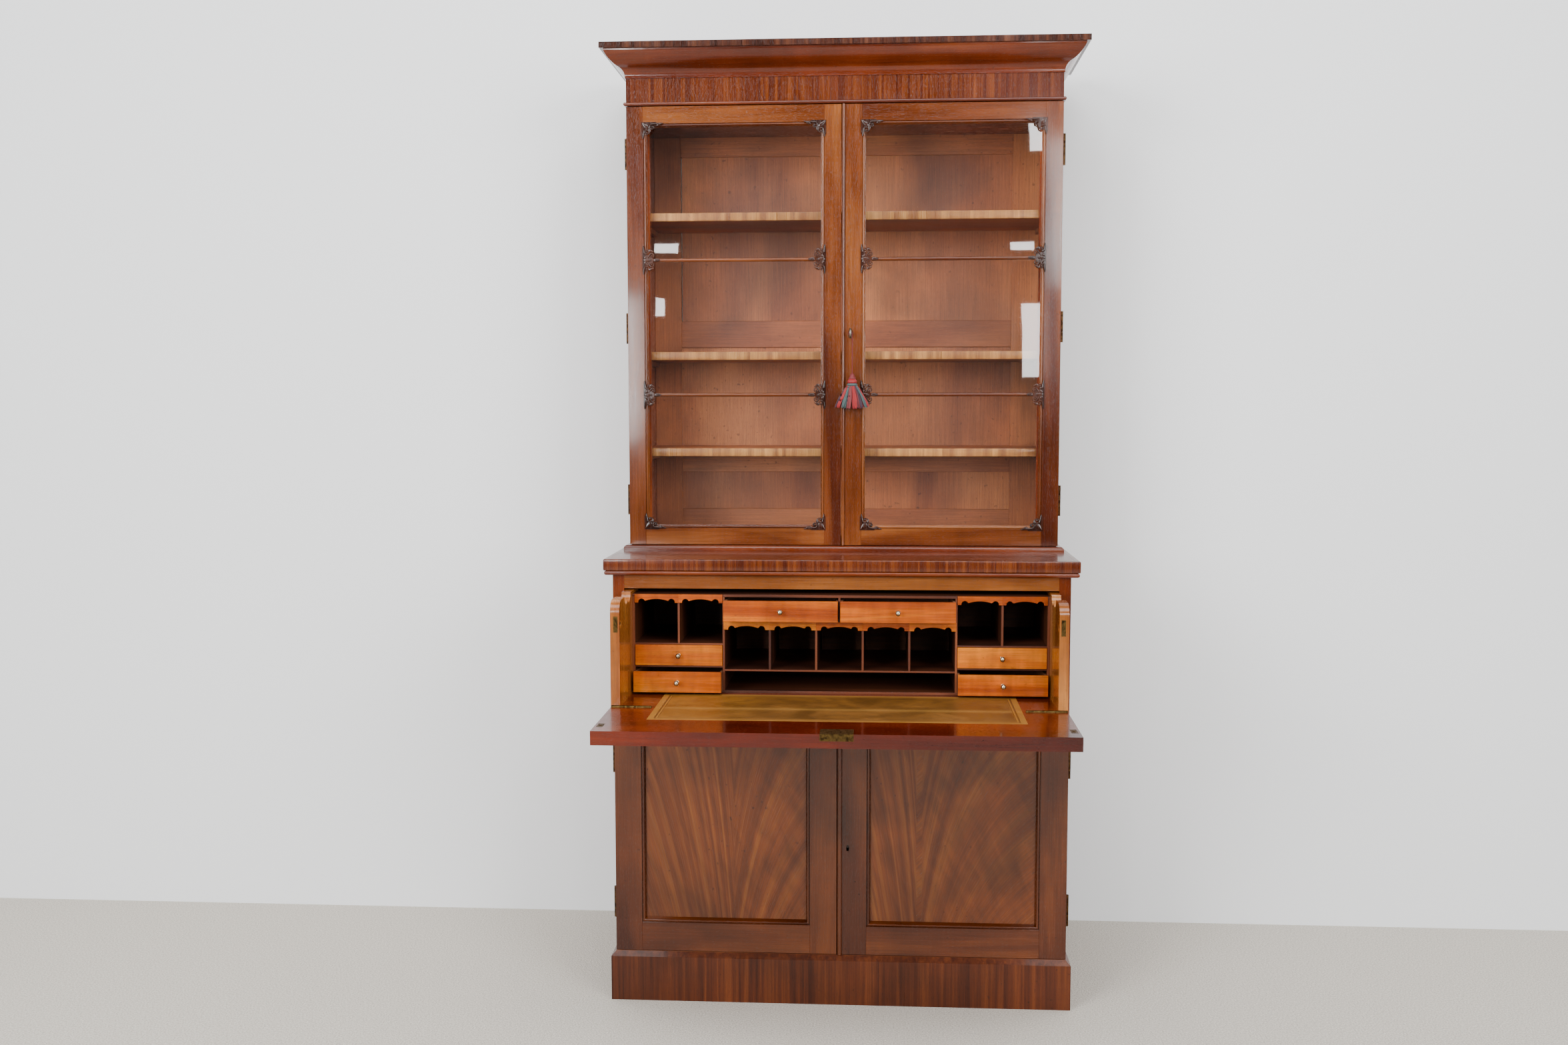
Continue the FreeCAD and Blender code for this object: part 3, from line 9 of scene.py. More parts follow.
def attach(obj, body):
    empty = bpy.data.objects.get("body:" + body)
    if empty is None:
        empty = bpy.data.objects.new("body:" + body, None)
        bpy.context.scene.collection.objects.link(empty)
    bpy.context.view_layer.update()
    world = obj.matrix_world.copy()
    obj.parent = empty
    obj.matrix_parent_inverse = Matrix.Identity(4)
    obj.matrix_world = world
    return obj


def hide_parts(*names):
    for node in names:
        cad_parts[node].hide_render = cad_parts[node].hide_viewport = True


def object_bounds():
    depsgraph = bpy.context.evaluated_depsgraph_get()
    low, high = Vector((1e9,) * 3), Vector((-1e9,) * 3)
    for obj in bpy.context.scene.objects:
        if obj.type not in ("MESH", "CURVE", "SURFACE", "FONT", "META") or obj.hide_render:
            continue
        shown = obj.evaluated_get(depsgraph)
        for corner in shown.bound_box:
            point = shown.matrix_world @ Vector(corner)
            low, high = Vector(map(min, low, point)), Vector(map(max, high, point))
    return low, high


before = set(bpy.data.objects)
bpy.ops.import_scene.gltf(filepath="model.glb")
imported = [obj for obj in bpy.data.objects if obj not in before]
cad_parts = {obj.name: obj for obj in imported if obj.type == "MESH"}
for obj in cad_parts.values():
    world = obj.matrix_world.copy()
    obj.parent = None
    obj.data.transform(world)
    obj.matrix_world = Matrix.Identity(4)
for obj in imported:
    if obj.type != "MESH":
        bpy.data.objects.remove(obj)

cad_low, cad_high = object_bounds()
studio = bpy.context.scene.collection

# ------------------------------------------------------------------ the camera
# It stands at eye height before the desk, a little right of its middle, and looks slightly
# down and to the left.

lens_data = bpy.data.cameras.new("eye_height_camera")
lens_data.lens = 33.63
lens_data.sensor_width = 36.0
eye = bpy.data.objects.new("eye_height_camera", lens_data)
studio.objects.link(eye)
look_left = 0.0634
look_down = 0.081
lean = -0.001
eye.matrix_world = (Matrix.Translation((0.0854, -3.3929, 1.4262))
                    @ Matrix.Rotation(look_left, 4, "Z")
                    @ Matrix.Rotation(math.pi / 2 - look_down, 4, "X")
                    @ Matrix.Rotation(lean, 4, "Z"))
bpy.context.scene.camera = eye

# ------------------------------------------------------------------ the silk tassel and its cord
# A fan-shaped tassel of soft silk yarns hangs from the bookcase key on a thin crimson cord.
# The cord is looped over the key's shank; the yarns are bound under a small round head.


def paint(red, green, blue):
    """An everyday 0 to 255 colour as the shader's own linear one."""
    return tuple((part / 255) ** 2.2 for part in (red, green, blue)) + (1.0,)


def placed(tree, kind, sockets=None, **settings):
    """One shader node with its settings; a socket given as a value is wired, a number is set."""
    node = tree.nodes.new(kind)
    for setting, value in settings.items():
        setattr(node, setting, value)
    for socket, value in (sockets or {}).items():
        if isinstance(value, bpy.types.NodeSocket):
            tree.links.new(value, node.inputs[socket])
        else:
            node.inputs[socket].default_value = value
    return node


def reckon(tree, operation, first, second=0.0):
    """One sum on two values."""
    return placed(tree, "ShaderNodeMath", {0: first, 1: second}, operation=operation).outputs[0]


def tinted(tree, amount, under, over, way="MIX"):
    """One colour laid over another by an amount."""
    mixer = placed(tree, "ShaderNodeMix", {0: amount, 6: under, 7: over}, data_type="RGBA", blend_type=way)
    return mixer.outputs[2]


def spread(tree, value, low, high, to_low=0.0, to_high=1.0):
    """A value's range stretched onto another."""
    sockets = {"Value": value, "From Min": low, "From Max": high, "To Min": to_low, "To Max": to_high}
    return placed(tree, "ShaderNodeMapRange", sockets).outputs["Result"]


def cloudy(tree, vector, scale, detail=2.0, warp=0.0):
    """Soft noise over a surface."""
    sockets = {"Vector": vector, "Scale": scale, "Detail": detail, "Distortion": warp}
    return placed(tree, "ShaderNodeTexNoise", sockets).outputs["Fac"]


def new_finish(name):
    """A material with its shader ready to be wired."""
    material = bpy.data.materials.new(name)
    material.use_nodes = True
    tree = material.node_tree
    return material, tree, tree.nodes["Principled BSDF"]


def object_place(tree):
    return placed(tree, "ShaderNodeTexCoord").outputs["Object"]


def finished(name, bm, body, finish, stands_for=(), crease=35):
    """Turns a bmesh into a piece that rides on a body in its finish."""
    bmesh.ops.recalc_face_normals(bm, faces=bm.faces)
    mesh = bpy.data.meshes.new(name)
    bm.to_mesh(mesh)
    bm.free()
    mesh.shade_smooth()
    mesh.set_sharp_from_angle(angle=math.radians(crease))
    for material in finish if isinstance(finish, (list, tuple)) else [finish]:
        mesh.materials.append(material)
    piece = bpy.data.objects.new(name, mesh)
    studio.objects.link(piece)
    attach(piece, body)
    if stands_for:
        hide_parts(*stands_for)
    return piece


def drawn_on(bm, face, step, grow=1.0):
    """Pulls one face on by a step and widens or narrows it: a yarn, a stem or a carved stroke grows."""
    grown = bmesh.ops.extrude_face_region(bm, geom=[face])["geom"]
    face = next(item for item in grown if isinstance(item, bmesh.types.BMFace))
    bmesh.ops.translate(bm, vec=step, verts=face.verts)
    middle = face.calc_center_median()
    bmesh.ops.scale(bm, vec=(grow, grow, grow), verts=face.verts, space=Matrix.Translation(-middle))
    return face


shank_middle = Vector((0.020, 0.194, 1.596))
cord_x = 0.0243
cord_thick = 0.0026
tassel_top = 1.501

crimson = paint(106, 6, 16)
bright_red = paint(148, 10, 20)
grey_teal = paint(60, 80, 80)
plum = paint(54, 12, 38)
old_rose = paint(120, 44, 48)

silk_cord, tree, shader = new_finish("twisted_silk_cord")
spot = placed(tree, "ShaderNodeMapping", {"Vector": object_place(tree), "Location": (-cord_x, -0.194, 0.0)})
parts = placed(tree, "ShaderNodeSeparateXYZ", {0: spot.outputs[0]})
around = reckon(tree, "ARCTAN2", parts.outputs[0], parts.outputs[1])
turning = reckon(tree, "ADD", around, reckon(tree, "MULTIPLY", parts.outputs[2], 1600.0))
strand = reckon(tree, "ABSOLUTE", reckon(tree, "SINE", turning))
tree.links.new(tinted(tree, strand, paint(92, 14, 24), crimson), shader.inputs["Base Color"])
ridge = placed(tree, "ShaderNodeBump", {"Strength": 0.6, "Distance": 0.0004, "Height": strand})
tree.links.new(ridge.outputs[0], shader.inputs["Normal"])
shader.inputs["Roughness"].default_value = 0.62
shader.inputs["Sheen Weight"].default_value = 0.12

cord_line = bpy.data.curves.new("tassel_cord_line", "CURVE")
cord_line.dimensions = "3D"
cord_line.bevel_depth = cord_thick / 2
cord_line.bevel_resolution = 3
cord_line.resolution_u = 10
cord_line.use_fill_caps = True
run = cord_line.splines.new("NURBS")
cord_points = [(0.0243, 0.1940, 1.596), (0.0244, 0.1940, 1.566), (0.0242, 0.1941, 1.532), (0.0243, 0.1940, 1.501),
               (0.0243, 0.1940, 1.446)]
run.points.add(len(cord_points) - 1)
for point, spot in zip(run.points, cord_points):
    point.co = (*spot, 1.0)
run.order_u = 3
run.use_endpoint_u = True
tassel_cord = bpy.data.objects.new("silk_cord", cord_line)
studio.objects.link(tassel_cord)
cord_line.materials.append(silk_cord)
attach(tassel_cord, "upper_door_right")
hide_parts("tassel_cord")

bm = bmesh.new()
loop_reach = 0.0043
section = bmesh.ops.create_circle(bm, segments=8, radius=cord_thick / 2 - 0.0001)["verts"]
bmesh.ops.translate(bm, vec=shank_middle + Vector((loop_reach, 0, 0)), verts=section)
bmesh.ops.spin(bm, geom=section + bm.edges[:], cent=shank_middle, axis=(0, 1, 0), angle=2 * math.pi,
               steps=24, use_merge=True)
bmesh.ops.remove_doubles(bm, verts=bm.verts, dist=1e-6)
cord_loop = finished("silk_cord_loop", bm, "upper_door_right", silk_cord, crease=80)

silk_yarn, tree, shader = new_finish("dyed_silk_yarn")
dye = placed(tree, "ShaderNodeAttribute", attribute_name="dye").outputs["Color"]
fine = placed(tree, "ShaderNodeMapping", {"Vector": object_place(tree), "Scale": (1600.0, 1600.0, 90.0)})
thread = cloudy(tree, fine.outputs[0], 1.0, 2.0, 0.3)
tone = placed(tree, "ShaderNodeVectorMath", {0: dye, "Scale": spread(tree, thread, 0.25, 0.75, 0.62, 1.2)},
              operation="SCALE")
tree.links.new(tone.outputs[0], shader.inputs["Base Color"])
ridge = placed(tree, "ShaderNodeBump", {"Strength": 0.5, "Distance": 0.0004, "Height": thread})
tree.links.new(ridge.outputs[0], shader.inputs["Normal"])
shader.inputs["Roughness"].default_value = 0.55
shader.inputs["Sheen Weight"].default_value = 0.12

bm = bmesh.new()
dye_layer = bm.verts.layers.float_color.new("dye")


def dyed(bm, before, colour):
    for vert in bm.verts:
        if vert not in before:
            vert[dye_layer] = colour


# the head: the cord's end swells into a bound cone, a ball and a grey band, each turned round
for levels, colour in (
        ([(0.0, 0.0015), (0.006, 0.0052), (0.0125, 0.0078)], crimson),
        ([(0.0120, 0.0076), (0.0135, 0.0086), (0.0155, 0.0078)], old_rose),
        ([(0.0150, 0.0074), (0.0190, 0.0112), (0.0230, 0.0118), (0.0260, 0.0098)], bright_red),
        ([(0.0255, 0.0098), (0.0272, 0.0122), (0.0300, 0.0130), (0.0322, 0.0118)], grey_teal)):
    before = set(bm.verts)
    ring = bmesh.ops.create_circle(bm, cap_ends=True, segments=28, radius=levels[0][1])["verts"]
    bmesh.ops.translate(bm, vec=(cord_x, 0.194, tassel_top - levels[0][0]), verts=ring)
    face = next(iter(ring[0].link_faces))
    for (above, narrow), (below, wide) in zip(levels, levels[1:]):
        face = drawn_on(bm, face, (0, 0, above - below), wide / narrow)
    dyed(bm, before, colour)
flat = Matrix.Translation((-cord_x, -0.194, 0))
bmesh.ops.scale(bm, vec=(1.0, 0.72, 1.0), verts=bm.verts, space=flat)

# the skirt: yarns fall from the band in tufts that gather toward the hem
yarn = random.Random(41)
tuft_dyes = [crimson, grey_teal, bright_red, plum, crimson, grey_teal, bright_red, crimson, plum, bright_red,
             grey_teal, crimson, bright_red, plum, grey_teal, bright_red]
tufts = len(tuft_dyes)
for layer, (count, reach) in enumerate(((96, 1.0), (56, 0.72), (28, 0.4))):
    for number in range(count):
        turn = (number + yarn.uniform(-0.3, 0.3)) / count
        tuft = math.floor(turn * tufts) % tufts
        gathered = turn + 0.38 * ((tuft + 0.5) / tufts - turn)
        start_angle = 2 * math.pi * turn
        hem_angle = 2 * math.pi * gathered
        thick = yarn.uniform(0.00115, 0.00150)
        start = Vector((0.0105 * math.cos(start_angle), 0.0070 * math.sin(start_angle), -0.0305))
        droop = -0.0835 - yarn.uniform(0.0, 0.0045) + 0.004 * abs(math.cos(hem_angle)) ** 3
        hem = Vector((0.0412 * reach * math.cos(hem_angle), 0.0082 * reach * math.sin(hem_angle), droop))
        before = set(bm.verts)
        ring = bmesh.ops.create_circle(bm, cap_ends=True, segments=5, radius=thick)["verts"]
        bmesh.ops.translate(bm, vec=Vector((cord_x, 0.194, tassel_top)) + start, verts=ring)
        face = next(iter(ring[0].link_faces))
        last = start
        for share in (0.12, 0.3, 0.5, 0.72, 0.9, 1.0):
            flare = share ** 0.82
            here = Vector((start.x + (hem.x - start.x) * flare, start.y + (hem.y - start.y) * flare,
                           start.z + (hem.z - start.z) * share))
            here.x += 0.0007 * math.sin(9 * share + number)
            face = drawn_on(bm, face, here - last, 1.06 if share < 0.9 else 0.8)
            last = here
        colour = tuft_dyes[tuft]
        if yarn.random() < 0.14:
            colour = yarn.choice([crimson, plum, old_rose])
        dyed(bm, before, colour)
tassel = finished("silk_tassel", bm, "upper_door_right", silk_yarn, ("tassel",), crease=80)

# ------------------------------------------------------------------ the plinth
# Softwood boards mitred at the front corners and veneered in crossbanded mahogany, its grain
# upright. The top edge slopes back to the carcase, which stands on the boards.

timber = random.Random(1860)
GRAIN_ORDER = {"x": (0, 1, 2), "y": (1, 0, 2), "z": (2, 0, 1)}


def new_wood():
    """A bmesh that notes, at every vertex, where it lies in its own board's grain."""
    bm = bmesh.new()
    bm.verts.layers.float_vector.new("grain")
    return bm


def set_grain(bm, before, along):
    layer = bm.verts.layers.float_vector["grain"]
    start = Vector([timber.uniform(0, 9) for axis in range(3)])
    for vert in bm.verts:
        if vert not in before:
            vert[layer] = start + Vector([vert.co[axis] for axis in GRAIN_ORDER[along]])


def eased(bm, before, width, least=30):
    """Takes the sharpness off a board's edges with a fine flat."""
    edges = [edge for edge in bm.edges
             if edge.verts[0] not in before and math.degrees(edge.calc_face_angle(0)) > least]
    bmesh.ops.bevel(bm, geom=edges, offset=width, segments=1, profile=0.5, affect="EDGES", material=-1)


def board(bm, across, depth, height, along, ease=0.0006):
    """One planed board between two corners, its edges eased, its grain along one axis."""
    before = set(bm.verts)
    made = bmesh.ops.create_cube(bm, size=1.0)["verts"]
    low = Vector((across[0], depth[0], height[0]))
    high = Vector((across[1], depth[1], height[1]))
    bmesh.ops.scale(bm, vec=high - low, verts=made)
    bmesh.ops.translate(bm, vec=(low + high) / 2, verts=made)
    eased(bm, before, ease)
    set_grain(bm, before, along)


def moulding(bm, outline, first_end, last_end, along):
    """A moulded length; each end says where a point of the outline lies there, mitre and all."""
    before = set(bm.verts)
    ring = [bm.verts.new(first_end(*point)) for point in outline]
    section = bm.faces.new(ring)
    grown = bmesh.ops.extrude_face_region(bm, geom=[section])["geom"]
    point_at = {vert.co.to_tuple(6): point for vert, point in zip(ring, outline)}
    for vert in grown:
        if isinstance(vert, bmesh.types.BMVert):
            vert.co = last_end(*point_at[vert.co.to_tuple(6)])
    set_grain(bm, before, along)


def round_the_front(bm, outline, half, face, back, front_along="x", side_along="y"):
    """A moulding along the front and both ends of a case, mitred at its corners."""
    moulding(bm, outline, lambda out, up: (-(half + out), face - out, up),
             lambda out, up: (half + out, face - out, up), front_along)
    for side in (-1, 1):
        moulding(bm, outline, lambda out, up, side=side: (side * (half + out), face - out, up),
                 lambda out, up, side=side: (side * (half + out), back, up), side_along)


def arc(centre, radius, first, last, steps=8):
    """Points of an arc of an outline, from one angle to another in degrees."""
    turns = [math.radians(first + (last - first) * step / steps) for step in range(steps + 1)]
    return [(centre[0] + radius * math.cos(turn), centre[1] + radius * math.sin(turn)) for turn in turns]


# The look of mahogany, shared by every polished part: broad bands, fine streaks, short dark
# pores and a cross ripple, all laid along the board's own grain.
figure = bpy.data.node_groups.new("mahogany_figure", "ShaderNodeTree")
for label, kind in (("Grain", "NodeSocketVector"), ("Dark", "NodeSocketColor"), ("Middle", "NodeSocketColor"),
                    ("Light", "NodeSocketColor"), ("Bands", "NodeSocketFloat"), ("Ripple", "NodeSocketFloat"),
                    ("Dullness", "NodeSocketFloat")):
    figure.interface.new_socket(label, in_out="INPUT", socket_type=kind)
for label, kind in (("Colour", "NodeSocketColor"), ("Roughness", "NodeSocketFloat"), ("Height", "NodeSocketFloat")):
    figure.interface.new_socket(label, in_out="OUTPUT", socket_type=kind)
given = figure.nodes.new("NodeGroupInput").outputs
result = figure.nodes.new("NodeGroupOutput").inputs


def stretched(tree, vector, scale):
    return placed(tree, "ShaderNodeVectorMath", {0: vector, 1: scale}, operation="MULTIPLY").outputs[0]


def dimmed(tree, colour, amount):
    return placed(tree, "ShaderNodeVectorMath", {0: colour, "Scale": amount}, operation="SCALE").outputs[0]


band_size = placed(figure, "ShaderNodeCombineXYZ", {0: 1.4, 1: given["Bands"], 2: given["Bands"]}).outputs[0]
bands = cloudy(figure, stretched(figure, given["Grain"], band_size), 1.0, 4.0, 0.5)
streaks = cloudy(figure, stretched(figure, given["Grain"], (9.0, 320.0, 320.0)), 1.0, 3.0, 0.2)
pores = cloudy(figure, stretched(figure, given["Grain"], (95.0, 1900.0, 1900.0)), 1.0, 1.0)
pores = spread(figure, pores, 0.60, 0.70)
ripple = cloudy(figure, stretched(figure, given["Grain"], (46.0, 11.0, 11.0)), 1.0, 2.0, 0.4)
colour = tinted(figure, spread(figure, bands, 0.34, 0.50), given["Dark"], given["Middle"])
colour = tinted(figure, spread(figure, bands, 0.50, 0.66), colour, given["Light"])
colour = dimmed(figure, colour, spread(figure, streaks, 0.25, 0.75, 0.74, 1.18))
colour = dimmed(figure, colour, reckon(figure, "SUBTRACT", 1.0, reckon(figure, "MULTIPLY", pores, 0.38)))
swing = reckon(figure, "MULTIPLY", reckon(figure, "SUBTRACT", ripple, 0.5), given["Ripple"])
colour = dimmed(figure, colour, reckon(figure, "ADD", swing, 1.0))
gloss = reckon(figure, "ADD", given["Dullness"], spread(figure, streaks, 0.2, 0.8, -0.05, 0.06))
gloss = reckon(figure, "ADD", gloss, reckon(figure, "MULTIPLY", pores, 0.15))
relief = reckon(figure, "SUBTRACT", reckon(figure, "MULTIPLY", streaks, 0.35), pores)
figure.links.new(colour, result["Colour"])
figure.links.new(gloss, result["Roughness"])
figure.links.new(relief, result["Height"])

# Age, shared by every finish: hand grease, old wax and faded patches that wander over the piece.
ageing = bpy.data.node_groups.new("old_surface", "ShaderNodeTree")
for label, kind in (("Place", "NodeSocketVector"), ("Colour", "NodeSocketColor"), ("Depth", "NodeSocketFloat")):
    ageing.interface.new_socket(label, in_out="INPUT", socket_type=kind)
for label, kind in (("Colour", "NodeSocketColor"), ("Haze", "NodeSocketFloat")):
    ageing.interface.new_socket(label, in_out="OUTPUT", socket_type=kind)
given = ageing.nodes.new("NodeGroupInput").outputs
result = ageing.nodes.new("NodeGroupOutput").inputs
patches = cloudy(ageing, given["Place"], 3.4, 3.0, 0.6)
specks = spread(ageing, cloudy(ageing, given["Place"], 95.0, 1.0), 0.70, 0.76)
shade = reckon(ageing, "MULTIPLY", spread(ageing, patches, 0.62, 0.30), given["Depth"])
shade = reckon(ageing, "MAXIMUM", shade, reckon(ageing, "MULTIPLY", specks, given["Depth"]))
ageing.links.new(dimmed(ageing, given["Colour"], reckon(ageing, "SUBTRACT", 1.0, shade)), result["Colour"])
ageing.links.new(spread(ageing, patches, 0.3, 0.7, -0.04, 0.08), result["Haze"])


def polished_wood(name, dark, middle, light, bands=10.0, ripple=0.25, dullness=0.18, coat=0.3, age=0.3,
                  along="board"):
    """A wood finish. The grain runs as each board notes it, or along one axis of the whole piece."""
    material, tree, shader = new_finish(name)
    place = object_place(tree)
    if along == "board":
        grain = placed(tree, "ShaderNodeAttribute", attribute_name="grain").outputs["Vector"]
    else:
        axes = placed(tree, "ShaderNodeSeparateXYZ", {0: place}).outputs
        order = GRAIN_ORDER[along]
        grain = placed(tree, "ShaderNodeCombineXYZ", {0: axes[order[0]], 1: axes[order[1]], 2: axes[order[2]]})
        grain = grain.outputs[0]
    look = placed(tree, "ShaderNodeGroup", node_tree=figure)
    tree.links.new(grain, look.inputs["Grain"])
    for label, value in (("Dark", dark), ("Middle", middle), ("Light", light), ("Bands", bands),
                         ("Ripple", ripple), ("Dullness", dullness)):
        look.inputs[label].default_value = value
    worn = placed(tree, "ShaderNodeGroup", node_tree=ageing)
    tree.links.new(place, worn.inputs["Place"])
    tree.links.new(look.outputs["Colour"], worn.inputs["Colour"])
    worn.inputs["Depth"].default_value = age
    tree.links.new(worn.outputs["Colour"], shader.inputs["Base Color"])
    tree.links.new(reckon(tree, "ADD", look.outputs["Roughness"], worn.outputs["Haze"]), shader.inputs["Roughness"])
    relief = placed(tree, "ShaderNodeBump", {"Strength": 0.22, "Distance": 0.0004, "Height": look.outputs["Height"]})
    tree.links.new(relief.outputs[0], shader.inputs["Normal"])
    shader.inputs["Coat Weight"].default_value = coat
    shader.inputs["Coat Roughness"].default_value = 0.08
    shader.inputs["Specular IOR Level"].default_value = 0.35
    return material


crossband = polished_wood("crossbanded_mahogany", paint(74, 29, 10), paint(93, 41, 14), paint(116, 58, 22),
                          bands=110.0, ripple=0.16)
plinth_veneer = polished_wood("plinth_crossbanding", paint(66, 29, 11), paint(84, 39, 15), paint(100, 50, 21),
                              bands=80.0, ripple=0.14, dullness=0.32, coat=0.1, age=0.45)

half_case = 0.534
case_back = 0.530
plinth_high = 0.107
plinth_top = 0.118
plinth_out = 0.011
plinth_inside = -0.019
bm = new_wood()
plinth_outline = [(plinth_inside, 0.0), (plinth_out, 0.0), (plinth_out, plinth_high), (0.0, plinth_top),
                  (0.0, plinth_high), (plinth_inside, plinth_high)]
round_the_front(bm, plinth_outline, half_case, 0.0, case_back, "z", "z")
inner_half = half_case + plinth_inside
board(bm, (-inner_half, inner_half), (case_back - 0.030, case_back), (0.0, plinth_high), "x")
finished("plinth_boards", bm, "root", plinth_veneer, ("plinth",))

# ------------------------------------------------------------------ the base carcase
# Solid mahogany sides joined by a bottom, a shelf, two front rails and a dust board. The sides
# are cut back below the drawer so that the cupboard doors close over their front edges.

mahogany = polished_wood("french_polished_mahogany", paint(72, 26, 9), paint(101, 41, 13), paint(128, 60, 22),
                         bands=9.0)
plain_carcase = polished_wood("waxed_carcase_wood", paint(92, 50, 31), paint(124, 72, 45), paint(150, 94, 60),
                              bands=7.0, dullness=0.45, coat=0.0, age=0.4)


def sawn(bm, outline, place, push, along, ease=0.0006):
    """A board sawn to an outline and given its thickness."""
    before = set(bm.verts)
    face = bm.faces.new([bm.verts.new(place(*point)) for point in outline])
    grown = bmesh.ops.extrude_face_region(bm, geom=[face])["geom"]
    bmesh.ops.translate(bm, vec=push, verts=[item for item in grown if isinstance(item, bmesh.types.BMVert)])
    eased(bm, before, ease)
    set_grain(bm, before, along)


side_in = 0.507
side_front = 0.0264
drawer_opening = 0.696
slab_under = 1.037
side_outline = [(side_front, plinth_top), (case_back, plinth_top), (case_back, slab_under), (0.0, slab_under),
                (0.0, drawer_opening), (side_front, drawer_opening)]
for word, side in (("left", -1), ("right", 1)):
    bm = new_wood()
    sawn(bm, side_outline, lambda deep, up: (side * side_in, deep, up), (side * (half_case - side_in), 0, 0), "z")
    finished(f"base_end_{word}", bm, "root", mahogany, (f"base_side_{word}",))

bm = new_wood()
board(bm, (-half_case, half_case), (0.0, case_back), (plinth_high, plinth_top), "x")
board(bm, (-0.5065, 0.5065), (0.060, 0.516), (0.410, 0.430), "x")
finished("cupboard_floor_and_shelf", bm, "root", plain_carcase, ("cupboard_boards",))

pale_rail = polished_wood("faded_rail_mahogany", paint(106, 54, 21), paint(130, 72, 29), paint(152, 90, 39),
                          bands=9.0)
bm = new_wood()
board(bm, (-side_in, side_in), (0.0, 0.026), (0.9935, slab_under), "x", 0.0004)
finished("rail_over_drawer", bm, "root", pale_rail)
bm = new_wood()
board(bm, (-side_in, side_in), (0.0, 0.026), (drawer_opening, 0.719), "x", 0.0004)
board(bm, (-side_in, side_in), (0.026, 0.518), (0.703, 0.719), "x", 0.0004)
finished("base_front_rails", bm, "root", mahogany, ("base_rails",))

bm = new_wood()
back_boards = 7
board_wide = 2 * side_in / back_boards
for number in range(back_boards):
    left = -side_in + number * board_wide
    board(bm, (left, left + board_wide), (0.518, case_back), (plinth_top, slab_under), "z", 0.0012)
finished("base_back_boards", bm, "root", plain_carcase, ("base_back",))

# ------------------------------------------------------------------ the slab
# A thick mahogany top over the drawer. Its front and ends are lipped in crossbanded veneer with
# softened corners, over a rounded bead that is mitred round the case.

slab_half = 0.553
slab_face = -0.019
slab_top = 1.064
lip_in = 0.012
bm = new_wood()
board(bm, (-slab_half + lip_in, slab_half - lip_in), (slab_face + lip_in, case_back), (slab_under, slab_top), "x",
      0.0003)
bead_outline = [(0.0, 1.026)] + arc((0.012, 1.0315), 0.0055, -90, 90, 10) + [(0.0, slab_under)]
round_the_front(bm, bead_outline, half_case, 0.0, case_back)
slab_board = finished("slab_and_bead", bm, "root", mahogany)
bm = new_wood()
lip_outline = ([(-lip_in, slab_under)] + arc((-0.0025, slab_under + 0.0025), 0.0025, -90, 0, 4)
               + arc((-0.0025, slab_top - 0.0025), 0.0025, 0, 90, 4) + [(-lip_in, slab_top)])
round_the_front(bm, lip_outline, slab_half, slab_face, case_back, "z", "z")
finished("slab_lipping", bm, "root", crossband, ("slab",))

# ------------------------------------------------------------------ the bookcase carcase
# It stands on a low rounded moulding. Solid sides with an upright behind each door, a bottom and
# a top, three fixed shelves on bearers, and a framed back with six thin panels.

upper_half = 0.528
upper_in = 0.506
upper_face = 0.212
case_front = 0.2384
foot_top = 1.076
cornice_low = 2.214
bm = new_wood()
foot_outline = ([(-0.040, slab_top), (0.014, slab_top)] + arc((0.006, slab_top + 0.004), 0.008, 0, 90, 7)
                + [(-0.040, foot_top)])
round_the_front(bm, foot_outline, upper_half, upper_face, case_back)
finished("bookcase_foot", bm, "root", mahogany, ("foot_moulding",))

for word, side in (("left", -1), ("right", 1)):
    bm = new_wood()
    board(bm, sorted((side * upper_in, side * upper_half)), (case_front, case_back), (foot_top, cornice_low), "z")
    board(bm, sorted((side * 0.476, side * upper_in)), (case_front, 0.2584), (1.098, 2.125), "z", 0.0004)
    finished(f"bookcase_end_{word}", bm, "root", mahogany, (f"upper_side_{word}",))

bm = new_wood()
board(bm, (-upper_in, upper_in), (case_front, 0.518), (foot_top, 1.098), "x", 0.0004)
board(bm, (-upper_in, upper_in), (case_front, 0.518), (2.125, 2.147), "x", 0.0004)
finished("bookcase_bottom_and_top", bm, "root", mahogany, ("upper_boards",))

shelf_wood = polished_wood("shelf_mahogany", paint(92, 42, 21), paint(124, 62, 32), paint(150, 84, 46), bands=8.0,
                           dullness=0.38, coat=0.1)
shelf_tops = (1.315, 1.555, 1.897)
shelf_thick = 0.020
shelf_front = 0.262
nosing_deep = 0.006
bm = new_wood()
for top in shelf_tops:
    board(bm, (-0.5055, 0.5055), (shelf_front + nosing_deep, 0.516), (top - shelf_thick, top), "x", 0.0003)
finished("book_shelf_boards", bm, "root", shelf_wood)
nosing_wood = polished_wood("golden_shelf_nosing", paint(106, 62, 28), paint(130, 84, 40), paint(152, 104, 54),
                            bands=55.0, ripple=0.1, dullness=0.3)
bm = new_wood()
for top in shelf_tops:
    outline = ([(shelf_front + nosing_deep, top - shelf_thick)]
               + arc((shelf_front + 0.0015, top - shelf_thick + 0.0015), 0.0015, 270, 180, 3)
               + arc((shelf_front + 0.0015, top - 0.0015), 0.0015, 180, 90, 3)
               + [(shelf_front + nosing_deep, top)])
    joint = -0.5055
    while joint < 0.5:
        reach = min(joint + timber.uniform(0.11, 0.23), 0.5055)
        moulding(bm, outline, lambda deep, up, here=joint: (here, deep, up),
                 lambda deep, up, here=reach: (here - 0.0002, deep, up), "z")
        joint = reach
finished("book_shelf_nosings", bm, "root", nosing_wood, ("book_shelves",))

